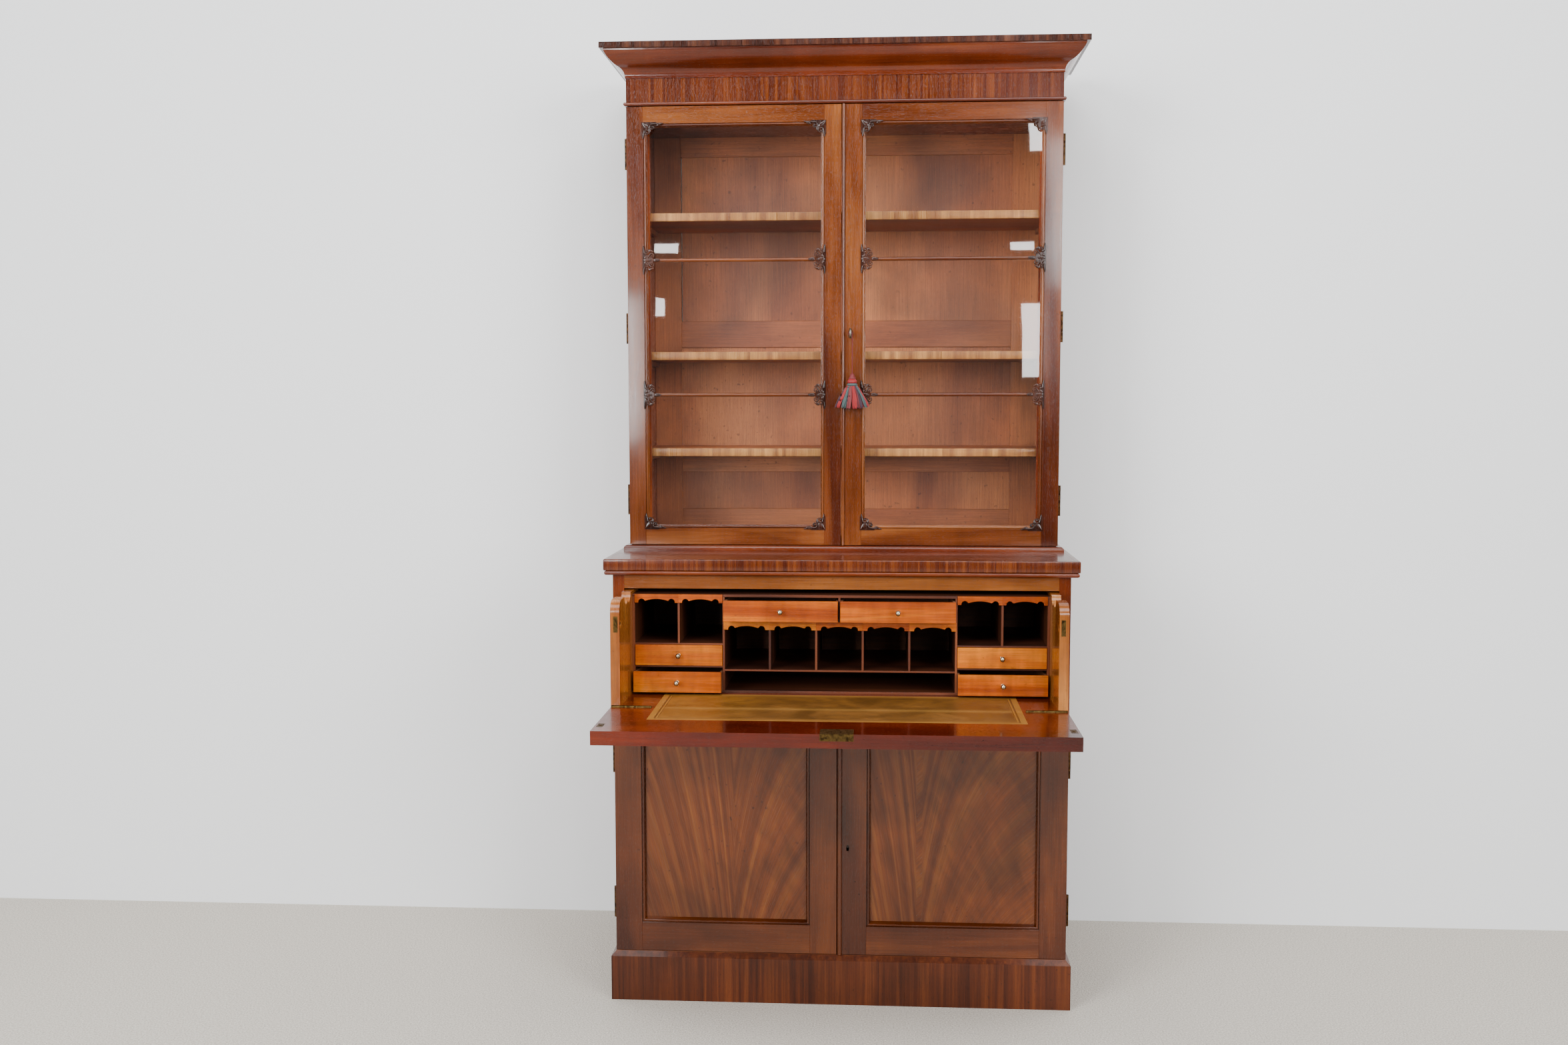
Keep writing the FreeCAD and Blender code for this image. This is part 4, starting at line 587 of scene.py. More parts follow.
# Painted light: the back's boards and panels are coloured paler than the carcase wood to stand in for the light that
# reaches the inside of the glazed case.
back_wood_painted_light = polished_wood("back_mahogany_painted_light", paint(118, 62, 34), paint(140, 78, 43), paint(158, 94, 54),
                          bands=5.0, ripple=0.12, dullness=0.42, coat=0.05, age=0.45)
bm = new_wood()
stile_edges = ((-upper_in, -0.436), (-0.035, 0.035), (0.436, upper_in))
for pair in stile_edges:
    board(bm, pair, (0.518, case_back), (foot_top, cornice_low), "z", 0.0008)
rail_levels = ((foot_top, 1.146), (1.245, 1.315), (1.575, 1.645), (2.074, cornice_low))
for left, right in ((-0.436, -0.035), (0.035, 0.436)):
    for level in rail_levels:
        board(bm, (left, right), (0.518, case_back), level, "x", 0.0008)
    for (_, panel_low), (panel_high, _) in zip(rail_levels, rail_levels[1:]):
        shrunk = 0.003 if left < 0 and panel_low > 1.6 else 0.0
        board(bm, (left + shrunk, right), (0.522, 0.526), (panel_low, panel_high), "z", 0.0003)
finished("bookcase_framed_back", bm, "root", back_wood_painted_light, ("upper_back",))

bm = new_wood()
for top in shelf_tops:
    for side in (-1, 1):
        board(bm, sorted((side * 0.494, side * upper_in)), (0.272, 0.508), (top - 0.032, top - shelf_thick), "y",
              0.0012)
for side in (-1, 1):
    board(bm, sorted((side * 0.495, side * side_in)), (0.070, 0.508), (0.398, 0.410), "y", 0.0012)
finished("bearers_under_shelves", bm, "root", plain_carcase, ("shelf_bearers",))

# ------------------------------------------------------------------ the frieze and the cornice
# A flat frieze in crossbanded veneer over a small bead. The cornice is a cyma with its grain
# along it, mitred at the corners, under a fillet and a crossbanded fascia.

frieze_low = 2.1485
bm = new_wood()
leaf_edges = [-upper_half]
while leaf_edges[-1] < upper_half - 0.2:
    leaf_edges.append(leaf_edges[-1] + timber.uniform(0.10, 0.19))
leaf_edges.append(upper_half)
for left, right in zip(leaf_edges, leaf_edges[1:]):
    board(bm, (left, right), (upper_face, case_front), (frieze_low, cornice_low), "z", 0.00015)
finished("frieze_veneers", bm, "root", crossband)
bm = new_wood()
bead = [(0.0, frieze_low)] + arc((0.002, frieze_low + 0.004), 0.004, -90, 90, 8) + [(0.0, frieze_low + 0.008)]
round_the_front(bm, bead, upper_half, upper_face, case_back)
finished("frieze_bead", bm, "root", mahogany, ("frieze",))


def arc_through(first, middle, last, steps=9):
    """Points of the arc that passes through three points."""
    ax, ay = middle[0] - first[0], middle[1] - first[1]
    bx, by = last[0] - first[0], last[1] - first[1]
    turn = 2 * (ax * by - ay * bx)
    ux = (by * (ax * ax + ay * ay) - ay * (bx * bx + by * by)) / turn
    uy = (ax * (bx * bx + by * by) - bx * (ax * ax + ay * ay)) / turn
    centre = (first[0] + ux, first[1] + uy)
    angle = [math.degrees(math.atan2(p[1] - centre[1], p[0] - centre[0])) for p in (first, middle, last)]
    sweep = (angle[2] - angle[0] + 180) % 360 - 180
    return arc(centre, math.hypot(ux, uy), angle[0], angle[0] + sweep, steps)


cornice_top = cad_high.z
fascia_low = 2.2757
waist = (0.0196, 2.2418)
hollow_out = 0.0466
fascia_out = 0.0556
bm = new_wood()
cyma = ([(-0.030, cornice_low)] + arc_through((0.002, cornice_low), (0.0056, 2.2307), waist)
        + arc_through(waist, (0.0396, 2.2604), (hollow_out, fascia_low - 0.003))[1:]
        + [(hollow_out, cornice_top), (-0.030, cornice_top)])
round_the_front(bm, cyma, upper_half, upper_face, case_back)
board(bm, (-0.498, 0.498), (0.242, case_back), (2.260, 2.278), "x")
finished("cornice_cyma", bm, "root", mahogany)
bm = new_wood()
fascia = [(hollow_out, fascia_low), (fascia_out - 0.0005, fascia_low), (fascia_out, fascia_low + 0.0005),
          (fascia_out, cornice_top - 0.0005), (fascia_out - 0.0005, cornice_top), (hollow_out, cornice_top)]
round_the_front(bm, fascia, upper_half, upper_face, case_back, "z", "z")
# Painted shade: the fascia's crossbanding is a darker copy of the frieze's, standing in for less light on this top
# strip.
top_veneer_painted_shade = polished_wood("cornice_top_crossbanding_painted_shade", paint(52, 27, 20), paint(70, 38, 27), paint(96, 56, 38),
                           bands=70.0, ripple=0.15)
finished("cornice_fascia", bm, "root", top_veneer_painted_shade, ("cornice",))

# ------------------------------------------------------------------ the cupboard doors
# Each is a framed door: two stiles, two rails, a mitred bead inside the frame and a thin panel
# veneered with a flame figure. The right door carries the rounded meeting bead and the lock.

door_wood = polished_wood("cupboard_door_mahogany", paint(60, 26, 11), paint(85, 41, 17), paint(106, 55, 24),
                          bands=8.0, age=0.4)
flame_wood = polished_wood("flame_veneer", paint(92, 46, 20), paint(106, 54, 23), paint(122, 69, 30), bands=20.0,
                           ripple=0.9, age=0.55)


def sight_bead(bm, across, height, outline):
    """A bead round the inside of a frame, mitred at its four corners; the outline is how far in and how deep."""
    left, right = across
    low, high = height
    corners = [lambda q: (left + q, low + q), lambda q: (right - q, low + q),
               lambda q: (right - q, high - q), lambda q: (left + q, high - q)]
    for number in range(4):
        start, stop = corners[number], corners[(number + 1) % 4]
        moulding(bm, outline, lambda q, deep, at=start: (at(q)[0], deep, at(q)[1]),
                 lambda q, deep, at=stop: (at(q)[0], deep, at(q)[1]), "x" if number % 2 == 0 else "z")


def keyhole_in(bm, middle, front, wide, tall, deep):
    """Cuts an upright keyhole into the face of a stile."""
    x, z = middle
    bm.normal_update()
    for normal, offset in (((1, 0, 0), x - wide / 2), ((1, 0, 0), x + wide / 2),
                           ((0, 0, 1), z - tall / 2), ((0, 0, 1), z + tall / 2)):
        near = [face for face in bm.faces if abs(face.normal.y + 1) < 1e-3
                and abs(face.calc_center_median().y - front) < 1e-4]
        geom = near + list({edge for face in near for edge in face.edges})
        geom += list({vert for face in near for vert in face.verts})
        spot = [offset if part else 0.0 for part in normal]
        bmesh.ops.bisect_plane(bm, geom=geom, plane_co=spot, plane_no=normal)
        bm.normal_update()
    hole = min((face for face in bm.faces if abs(face.calc_center_median().y - front) < 1e-4),
               key=lambda face: (face.calc_center_median() - Vector((x, front, z))).length)
    grown = bmesh.ops.extrude_face_region(bm, geom=[hole])["geom"]
    moved = [item for item in grown if isinstance(item, bmesh.types.BMVert)]
    bmesh.ops.translate(bm, vec=(0, deep, 0), verts=moved)
    walls = [edge for vert in moved for edge in vert.link_edges
             if abs(edge.verts[0].co.y - edge.verts[1].co.y) > deep / 2]
    bmesh.ops.bevel(bm, geom=walls, offset=wide * 0.48, segments=4, profile=0.5, affect="EDGES", material=-1)
    mouth = [face for face in bm.faces if all(abs(vert.co.x - x) < wide * 0.51 and abs(vert.co.z - z) < tall * 0.51
                                              and abs(vert.co.y - front) < 1e-5 for vert in face.verts)]
    bmesh.ops.delete(bm, geom=mouth, context="FACES_ONLY")


door_low = 0.1195
door_high = 0.6945
stile_wide = 0.063
door_thick = 0.024
panel_face = 0.012
field_low = door_low + 0.069
field_high = door_high - 0.062
quirk_bead = ([(0.0, 0.0120), (0.0, 0.0036), (0.0011, 0.0036)] + arc((0.0041, 0.0036), 0.0028, 180, 360, 8)
              + [(0.0085, 0.0080), (0.0098, 0.0112), (0.0100, 0.0120)])
for word, outer, inner, lap in (("left", -0.534, -0.00625, 0.0), ("right", 0.534, -0.00475, 0.006)):
    sign = 1 if inner > outer else -1
    bm = new_wood()
    frame_outer = outer + sign * stile_wide
    frame_inner = inner - sign * (stile_wide + lap)
    across = tuple(sorted((frame_outer, frame_inner)))
    board(bm, sorted((frame_inner, inner)), (0, door_thick), (door_low, door_high), "z", 0.0004)
    if word == "right":
        keyhole_in(bm, (0.020, 0.378), 0.0, 0.0062, 0.0150, 0.013)
    board(bm, sorted((outer, frame_outer)), (0, door_thick), (door_low, door_high), "z", 0.0004)
    board(bm, across, (0, door_thick), (door_low, field_low), "x", 0.0004)
    board(bm, across, (0, door_thick), (field_high, door_high), "x", 0.0004)
    sight_bead(bm, across, (field_low, field_high), quirk_bead)
    if word == "right":
        meeting = ([(-0.00475, 0.0), (-0.00475, -0.0016)] + arc((0.00125, -0.0012), 0.0048, 180, 360, 12)
                   + [(0.00725, -0.0016), (0.00725, 0.0)])
        moulding(bm, meeting, lambda x, y: (x, y, door_low), lambda x, y: (x, y, door_high), "z")
    finished(f"cupboard_door_frame_{word}", bm, f"lower_door_{word}", door_wood,
             (f"lower_{word}_frame",))

    # the panel: its veneer's streaks rise away from a feather line that is off the middle
    bm = new_wood()
    board(bm, across, (panel_face, panel_face + 0.008), (field_low, field_high), "z", 0.0002)
    bmesh.ops.subdivide_edges(bm, edges=[edge for edge in bm.edges if edge.calc_length() > 0.1], cuts=30,
                              use_grid_fill=True)
    layer = bm.verts.layers.float_vector["grain"]
    start = Vector((timber.uniform(0, 9), timber.uniform(0, 9), timber.uniform(0, 9)))
    feather = across[0] + (0.30 if word == "right" else 0.55) * (across[1] - across[0])
    for vert in bm.verts:
        away = vert.co.x - feather
        steep = 0.42 * math.log(1 + abs(away) / 0.05) * (1.7 if away < 0 else 1.0)
        rise = (vert.co.z - steep) * 0.55
        vert[layer] = start + Vector((away * 0.8 + vert.co.z * 0.4, rise + 0.25 * away, vert.co.y))
    finished(f"flame_panel_{word}", bm, f"lower_door_{word}", flame_wood,
             (f"lower_{word}_panel",))

# ------------------------------------------------------------------ hinges, locks and key
# Brass butt hinges, lock cases let into the stiles and an oval escutcheon round the bookcase
# keyhole, all in browned brass, and a worn steel key with a ring bow.


def old_metal(name, clean, tarnish, roughness=0.34):
    """Worn metal: bright where it is handled, brown and dull in patches."""
    material, tree, shader = new_finish(name)
    place = object_place(tree)
    patches = spread(tree, cloudy(tree, place, 130.0, 4.0, 0.5), 0.40, 0.66)
    scratches = cloudy(tree, stretched(tree, place, (900.0, 60.0, 900.0)), 1.0, 1.0)
    tree.links.new(tinted(tree, patches, clean, tarnish), shader.inputs["Base Color"])
    rough = reckon(tree, "ADD", spread(tree, patches, 0.0, 1.0, roughness, roughness + 0.25),
                   spread(tree, scratches, 0.3, 0.7, -0.05, 0.05))
    tree.links.new(rough, shader.inputs["Roughness"])
    relief = placed(tree, "ShaderNodeBump", {"Strength": 0.2, "Distance": 0.0002, "Height": scratches})
    tree.links.new(relief.outputs[0], shader.inputs["Normal"])
    shader.inputs["Metallic"].default_value = 1.0
    return material


def given_finish(node, material):
    """A CAD part keeps its shape and takes a finish."""
    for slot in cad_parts[node].material_slots:
        slot.material = material


aged_brass = old_metal("aged_brass", paint(98, 78, 46), paint(50, 38, 24), 0.42)
browned_brass = old_metal("browned_hinge_brass", paint(92, 66, 42), paint(48, 32, 24), 0.45)
worn_steel = old_metal("worn_steel", paint(150, 142, 130), paint(84, 74, 62))
for node in ("case_hinges", "lower_left_hinges", "lower_right_brass", "upper_left_hinges", "upper_right_brass"):
    given_finish(node, browned_brass)
given_finish("key", worn_steel)

# ------------------------------------------------------------------ the glazed doors
# Slender framed doors, each with three panes between two rounded glazing bars and a mitred
# bead inside the frame. The right one carries the meeting bead, the escutcheon and the key.

slender_wood = polished_wood("bookcase_door_mahogany", paint(76, 32, 12), paint(108, 54, 22), paint(140, 80, 38),
                             bands=11.0)
upper_low = 1.0775
upper_high = 2.147
slender = 0.041
glass_face = 0.221
bar_heights = (1.448, 1.777)
bar_half = 0.0045
fine_bead = ([(0.0, glass_face), (0.0, 0.2148), (0.0009, 0.2148)] + arc((0.0033, 0.2148), 0.0022, 180, 360, 6)
             + [(0.0072, 0.2178), (0.0085, 0.2202), (0.0085, glass_face)])
for word, outer, inner, lap in (("left", -0.528, -0.00325, 0.0), ("right", 0.528, -0.00175, 0.008)):
    sign = 1 if inner > outer else -1
    bm = new_wood()
    frame_outer = outer + sign * slender
    frame_inner = inner - sign * (slender + lap)
    across = tuple(sorted((frame_outer, frame_inner)))
    depth = (upper_face, upper_face + door_thick)
    field = (upper_low + slender, upper_high - slender)
    board(bm, sorted((frame_inner, inner)), depth, (upper_low, upper_high), "z", 0.0004)
    if word == "right":
        keyhole_in(bm, (0.020, 1.5955), upper_face, 0.0069, 0.0124, 0.0216)
    board(bm, sorted((outer, frame_outer)), depth, (upper_low, upper_high), "z", 0.0004)
    board(bm, across, depth, (upper_low, field[0]), "x", 0.0004)
    board(bm, across, depth, (field[1], upper_high), "x", 0.0004)
    sight_bead(bm, across, field, fine_bead)
    for height in bar_heights:
        bar = ([(height - bar_half, glass_face), (height - bar_half, 0.2178)]
               + [(up, deep) for up, deep in arc((height, 0.2178), bar_half - 0.0006, 180, 360, 10)]
               + [(height + bar_half, 0.2178), (height + bar_half, glass_face)])
        moulding(bm, bar, lambda up, deep: (across[0] + 0.004, deep, up),
                 lambda up, deep: (across[1] - 0.004, deep, up), "x")
        board(bm, across, (glass_face, upper_face + door_thick), (height - 0.002, height + 0.002), "x", 0.0003)
    if word == "right":
        meeting = ([(-0.00175, 0.212), (-0.00175, 0.2104)] + arc((0.00225, 0.2100), 0.0036, 180, 360, 10)
                   + [(0.00625, 0.2104), (0.00625, 0.212)])
        moulding(bm, meeting, lambda x, y: (x, y, upper_low), lambda x, y: (x, y, upper_high), "z")
    finished(f"glazed_door_frame_{word}", bm, f"upper_door_{word}", slender_wood,
             (f"upper_{word}_frame",))

old_glass, tree, shader = new_finish("old_window_glass")
waves = cloudy(tree, object_place(tree), 7.0, 1.0, 0.4)
swell = placed(tree, "ShaderNodeBump", {"Strength": 0.04, "Distance": 0.002, "Height": waves})
tree.links.new(swell.outputs[0], shader.inputs["Normal"])
shader.inputs["Base Color"].default_value = (0.97, 0.985, 0.975, 1.0)
shader.inputs["Roughness"].default_value = 0.015
shader.inputs["IOR"].default_value = 1.5
shader.inputs["Transmission Weight"].default_value = 1.0
for word in ("left", "right"):
    given_finish(f"upper_{word}_glass", old_glass)
    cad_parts[f"upper_{word}_glass"].visible_shadow = False

# ------------------------------------------------------------------ the carved mounts
# Small carved scrolls in dark polished mahogany, glued to the frame in its four corners and at
# both ends of each glazing bar, with leaves between the scrolls.

carved_wood = polished_wood("carved_dark_mahogany", paint(38, 17, 8), paint(58, 27, 14), paint(88, 46, 26),
                            bands=30.0, ripple=0.1, dullness=0.2, coat=0.25, age=0.5)
carving_middle = 0.2096
carving_half = 0.0023


def scroll(bm, start, centre, stroke, hand, turns=1.35, shrink=0.24):
    """One carved stroke that runs straight to its scroll and winds in to an eye."""
    centre = Vector((centre[0], 0, centre[1]))
    tail = Vector((start[0], 0, start[1]))
    run = centre - tail
    side = Vector((-run.z, 0, run.x)).normalized() * hand
    begin = centre + side * stroke * 2.7
    turn = Vector((0, 0, 1)).rotation_difference((begin - tail).normalized()).to_matrix().to_4x4()
    ring = bmesh.ops.create_circle(bm, cap_ends=True, segments=8, radius=stroke / 2)["verts"]
    bmesh.ops.transform(bm, matrix=Matrix.Translation(tail) @ turn, verts=ring)
    face = next(iter(ring[0].link_faces))
    face = drawn_on(bm, face, (begin - tail) * 0.4, 1.5)
    face = drawn_on(bm, face, (begin - tail) * 0.6, 1.33)
    steps = 22
    step_turn = Matrix.Rotation(2 * math.pi * turns / steps * hand, 3, "Y")
    pull = shrink ** (1 / steps)
    for step in range(steps):
        grown = bmesh.ops.extrude_face_region(bm, geom=[face])["geom"]
        face = next(item for item in grown if isinstance(item, bmesh.types.BMFace))
        bmesh.ops.rotate(bm, cent=centre, matrix=step_turn, verts=face.verts)
        bmesh.ops.scale(bm, vec=(pull, pull, pull), verts=face.verts, space=Matrix.Translation(-centre))
    bmesh.ops.create_icosphere(bm, subdivisions=2, radius=stroke * 0.95, matrix=Matrix.Translation(centre))


def leaf(bm, root, tip, wide):
    """One carved leaf: a long drop, full near its root and pointed at its tip."""
    root = Vector((root[0], 0, root[1]))
    tip = Vector((tip[0], 0, tip[1]))
    made = bmesh.ops.create_uvsphere(bm, u_segments=10, v_segments=8, radius=1.0)["verts"]
    for vert in made:
        vert.co.x *= 1.0 - 0.55 * vert.co.z
    bmesh.ops.scale(bm, vec=(wide / 2, 0.0021, (tip - root).length / 2), verts=made)
    turn = Vector((0, 0, 1)).rotation_difference((tip - root).normalized()).to_matrix().to_4x4()
    bmesh.ops.transform(bm, matrix=Matrix.Translation((root + tip) / 2) @ turn, verts=made)


def carving(web, strokes, leaves):
    """A mount carved once, at its own corner; across goes inward and up goes away from the rail or bar."""
    bm = new_wood()
    ground = bm.faces.new([bm.verts.new((across, 0.0004, away)) for across, away in web])
    grown = bmesh.ops.extrude_face_region(bm, geom=[ground])["geom"]
    bmesh.ops.translate(bm, vec=(0, 0.0024, 0), verts=[item for item in grown if isinstance(item, bmesh.types.BMVert)])
    for start, centre, stroke, hand in strokes:
        scroll(bm, start, centre, stroke, hand)
    for root, tip, wide in leaves:
        leaf(bm, root, tip, wide)
    deepest = max(abs(vert.co.y) for vert in bm.verts)
    bmesh.ops.scale(bm, vec=(1, carving_half / deepest, 1), verts=bm.verts)
    set_grain(bm, set(), "z")
    mesh = bpy.data.meshes.new("carving")
    bm.to_mesh(mesh)
    bm.free()
    return mesh


corner_carving = carving(
    [(0.0005, 0.0005), (0.0370, 0.0005), (0.0335, 0.0050), (0.0270, 0.0085), (0.0190, 0.0150), (0.0110, 0.0200),
     (0.0065, 0.0265), (0.0040, 0.0330), (0.0005, 0.0350)],
    [((0.0040, 0.0400), (0.0140, 0.0262), 0.0029, -1), ((0.0540, 0.0036), (0.0275, 0.0128), 0.0028, 1)],
    [((0.0180, 0.0180), (0.0010, 0.0010), 0.0105), ((0.0205, 0.0130), (0.0215, 0.0285), 0.0070),
     ((0.0370, 0.0090), (0.0520, 0.0036), 0.0060)])
bar_carving = carving(
    [(0.0005, 0.0), (0.0310, 0.0), (0.0270, 0.0040), (0.0200, 0.0090), (0.0130, 0.0130), (0.0080, 0.0200),
     (0.0040, 0.0270), (0.0005, 0.0290)],
    [((0.0030, 0.0345), (0.0115, 0.0212), 0.0027, -1), ((0.0120, 0.0036), (0.0240, 0.0105), 0.0024, 1)],
    [((0.0150, 0.0245), (0.0290, 0.0190), 0.0070), ((0.0060, 0.0020), (0.0100, 0.0140), 0.0070),
     ((0.0020, 0.0010), (0.0230, 0.0010), 0.0070), ((0.0270, 0.0010), (0.0440, 0.0010), 0.0062)])
for word, outer_line, inner_line in (("left", -0.528 + 0.037, -0.00325 - 0.037),
                                     ("right", 0.528 - 0.037, -0.00175 + 0.045)):
    bm = new_wood()
    places = []
    for line, inward in ((min(outer_line, inner_line), 1), (max(outer_line, inner_line), -1)):
        places.append((corner_carving, line, inward, upper_high - 0.037, -1))
        places.append((corner_carving, line, inward, upper_low + 0.037, 1))
        for height in bar_heights:
            places.append((bar_carving, line, inward, height, 1))
            places.append((bar_carving, line, inward, height, -1))
    for carved, line, inward, height, away in places:
        mesh = carved.copy()
        mesh.transform(Matrix.Translation((line, carving_middle, height)) @ Matrix.Diagonal((inward, 1, away, 1)))
        bm.from_mesh(mesh)
    finished(f"carved_scrolls_{word}", bm, f"upper_door_{word}", carved_wood,
             (f"upper_{word}_mounts",), crease=60)

# ------------------------------------------------------------------ the secretaire drawer
# A deep drawer without a fixed front. Its sides are shaped: round at the top front corner, with
# a dip behind it. The floor ends in a thick lip that the fall is hinged to.

side_wood = polished_wood("drawer_side_mahogany", paint(128, 68, 28), paint(162, 96, 42), paint(190, 124, 62),
                          bands=12.0, along="z")
floor_wood = polished_wood("writing_surface_mahogany", paint(72, 25, 7), paint(100, 38, 10), paint(124, 56, 18),
                           bands=9.0, along="x")
back_lining = polished_wood("drawer_back_wood", paint(92, 50, 31), paint(124, 72, 45), paint(150, 94, 60),
                            bands=7.0, dullness=0.45, coat=0.0, age=0.4, along="x")
given_finish("drawer_side_left", side_wood)
given_finish("drawer_side_right", side_wood)
given_finish("drawer_floor", floor_wood)
given_finish("drawer_back", back_lining)
given_finish("drawer_brass", aged_brass)
given_finish("thumb_bolt_left", aged_brass)
given_finish("thumb_bolt_right", aged_brass)

# ------------------------------------------------------------------ the leather lining
# Old writing leather glued flat into the floor and the fall, with a blind-tooled line near its
# edge. It has faded to olive and gold, and it is rubbed where the two leaves meet.

writing_leather, tree, shader = new_finish("tooled_writing_leather")
place = object_place(tree)
mottle = cloudy(tree, place, 9.0, 4.0, 0.8)
fine_mottle = cloudy(tree, place, 70.0, 3.0, 0.3)
axes = placed(tree, "ShaderNodeSeparateXYZ", {0: place}).outputs
faded = reckon(tree, "ADD", spread(tree, axes[0], -0.16, -0.30, 0.0, 0.5), spread(tree, mottle, 0.35, 0.65, 0.0, 0.55))
tone = tinted(tree, faded, paint(88, 58, 24), paint(142, 92, 32))
tone = tinted(tree, spread(tree, fine_mottle, 0.45, 0.70, 0.0, 0.35), tone, paint(70, 48, 22))
by_fold = spread(tree, reckon(tree, "ABSOLUTE", reckon(tree, "ADD", axes[1], 0.197)), 0.020, 0.002)
tone = tinted(tree, reckon(tree, "MULTIPLY", by_fold, 0.45), tone, paint(160, 116, 56))
from_side = reckon(tree, "SUBTRACT", 0.406, reckon(tree, "ABSOLUTE", axes[0]))
from_front = reckon(tree, "ADD", axes[1], 0.321)
from_back = reckon(tree, "SUBTRACT", -0.040, axes[1])
inward = reckon(tree, "MINIMUM", from_side, reckon(tree, "MINIMUM", from_front, from_back))
tooling = None
for inset, broad in ((0.015, 0.0026), (0.0215, 0.0014)):
    line = reckon(tree, "SUBTRACT", inward, inset)
    line = spread(tree, reckon(tree, "ABSOLUTE", line), broad * 0.5, broad)
    tooling = line if tooling is None else reckon(tree, "MULTIPLY", tooling, line)
margin = spread(tree, inward, 0.0235, 0.0225, 0.0, 0.5)
tone = tinted(tree, margin, tone, paint(172, 118, 50))
tone = tinted(tree, spread(tree, tooling, 0.0, 1.0, 0.85, 0.0), tone, paint(78, 48, 20))
tree.links.new(tone, shader.inputs["Base Color"])
pebble = placed(tree, "ShaderNodeTexVoronoi", {"Vector": place, "Scale": 620.0}).outputs["Distance"]
height = reckon(tree, "ADD", reckon(tree, "MULTIPLY", pebble, 0.35), tooling)
relief = placed(tree, "ShaderNodeBump", {"Strength": 0.35, "Distance": 0.0005, "Height": height})
tree.links.new(relief.outputs[0], shader.inputs["Normal"])
tree.links.new(spread(tree, mottle, 0.3, 0.7, 0.34, 0.52), shader.inputs["Roughness"])
given_finish("floor_leather", writing_leather)
given_finish("fall_leather", writing_leather)

# ------------------------------------------------------------------ the writing fall
# A thick board of mahogany hinged to the drawer floor: shut, it is the drawer's front. Its inner
# face holds the leather, the brass lock plate with four screws and a strike plate at each end.

fall_wood = polished_wood("fall_mahogany", paint(62, 16, 2), paint(92, 28, 2), paint(116, 44, 7), bands=8.0,
                          dullness=0.16, coat=0.25, age=0.35, along="x")
given_finish("fall_board", fall_wood)
given_finish("fall_brass", aged_brass)


def screw(bm, x, y, z, radius, turn):
    """A countersunk screw's head with its slot, flush in a level plate."""
    ring = bmesh.ops.create_circle(bm, cap_ends=True, segments=20, radius=radius)["verts"]
    face = next(iter(ring[0].link_faces))
    rim = bmesh.ops.inset_individual(bm, faces=[face], thickness=radius * 0.16, depth=0.0)
    raised = bmesh.ops.extrude_face_region(bm, geom=[face])["geom"]
    top = [item for item in raised if isinstance(item, bmesh.types.BMVert)]
    bmesh.ops.translate(bm, vec=(0, 0, 0.00008), verts=top)
    slot = bmesh.ops.create_cube(bm, size=1.0)["verts"]
    bmesh.ops.scale(bm, vec=(radius * 1.7, radius * 0.22, 0.0001), verts=slot)
    bmesh.ops.translate(bm, vec=(0, 0, 0.0001), verts=slot)
    made = list(ring) + top + slot + [vert for face in rim["faces"] for vert in face.verts]
    made = list(dict.fromkeys(made))
    bmesh.ops.rotate(bm, cent=(0, 0, 0), matrix=Matrix.Rotation(turn, 3, "Z"), verts=made)
    bmesh.ops.translate(bm, vec=(x, y, z), verts=made)


# ------------------------------------------------------------------ the nest
# A case of thin dark-stained boards inside the drawer: pigeonholes between shallow drawers. The
# boards' front edges are rubbed back to red-brown.

nest_wood, tree, shader = new_finish("dark_stained_nest")
place = object_place(tree)
grain = placed(tree, "ShaderNodeAttribute", attribute_name="grain").outputs["Vector"]
look = placed(tree, "ShaderNodeGroup", node_tree=figure)
tree.links.new(grain, look.inputs["Grain"])
for label, value in (("Dark", paint(42, 20, 10)), ("Middle", paint(62, 31, 16)), ("Light", paint(80, 43, 24)),
                     ("Bands", 14.0), ("Ripple", 0.1), ("Dullness", 0.4)):
    look.inputs[label].default_value = value
forward = placed(tree, "ShaderNodeSeparateXYZ", {0: place}).outputs[1]
rubbed = spread(tree, forward, -0.0209, -0.0216)
tone = tinted(tree, rubbed, look.outputs["Colour"], dimmed(tree, look.outputs["Colour"], 2.6))
tree.links.new(tone, shader.inputs["Base Color"])
tree.links.new(look.outputs["Roughness"], shader.inputs["Roughness"])
relief = placed(tree, "ShaderNodeBump", {"Strength": 0.2, "Distance": 0.0003, "Height": look.outputs["Height"]})
tree.links.new(relief.outputs[0], shader.inputs["Normal"])

nest_front = -0.022
nest_back = 0.271
nest_half = 0.4844
end_in = 0.4784
nest_floor = 0.757
nest_ceiling = 0.977
centre_half = 0.2675
flank_in = 0.2725
flank_middle = (flank_in + end_in) / 2
bm = new_wood()
deep = (nest_front, nest_back)
board(bm, (-nest_half, nest_half), deep, (0.751, nest_floor), "x", 0.0004)
board(bm, (-nest_half, nest_half), deep, (nest_ceiling, 0.983), "x", 0.0004)
board(bm, (-centre_half, centre_half), deep, (0.803, 0.807), "x", 0.0003)
board(bm, (-centre_half, centre_half), deep, (0.921, 0.925), "x", 0.0003)
board(bm, (-0.0025, 0.0025), deep, (0.925, nest_ceiling), "z", 0.0003)
for side in (-1, 1):
    board(bm, sorted((side * end_in, side * nest_half)), deep, (nest_floor, nest_ceiling), "z", 0.0004)
    board(bm, sorted((side * centre_half, side * flank_in)), deep, (nest_floor, nest_ceiling), "z", 0.0004)
    for top in (0.868, 0.815):
        board(bm, sorted((side * flank_in, side * end_in)), deep, (top - 0.004, top), "x", 0.0003)
    board(bm, (side * flank_middle - 0.0025, side * flank_middle + 0.0025), deep, (0.868, nest_ceiling), "z", 0.0003)
bay = 0.108
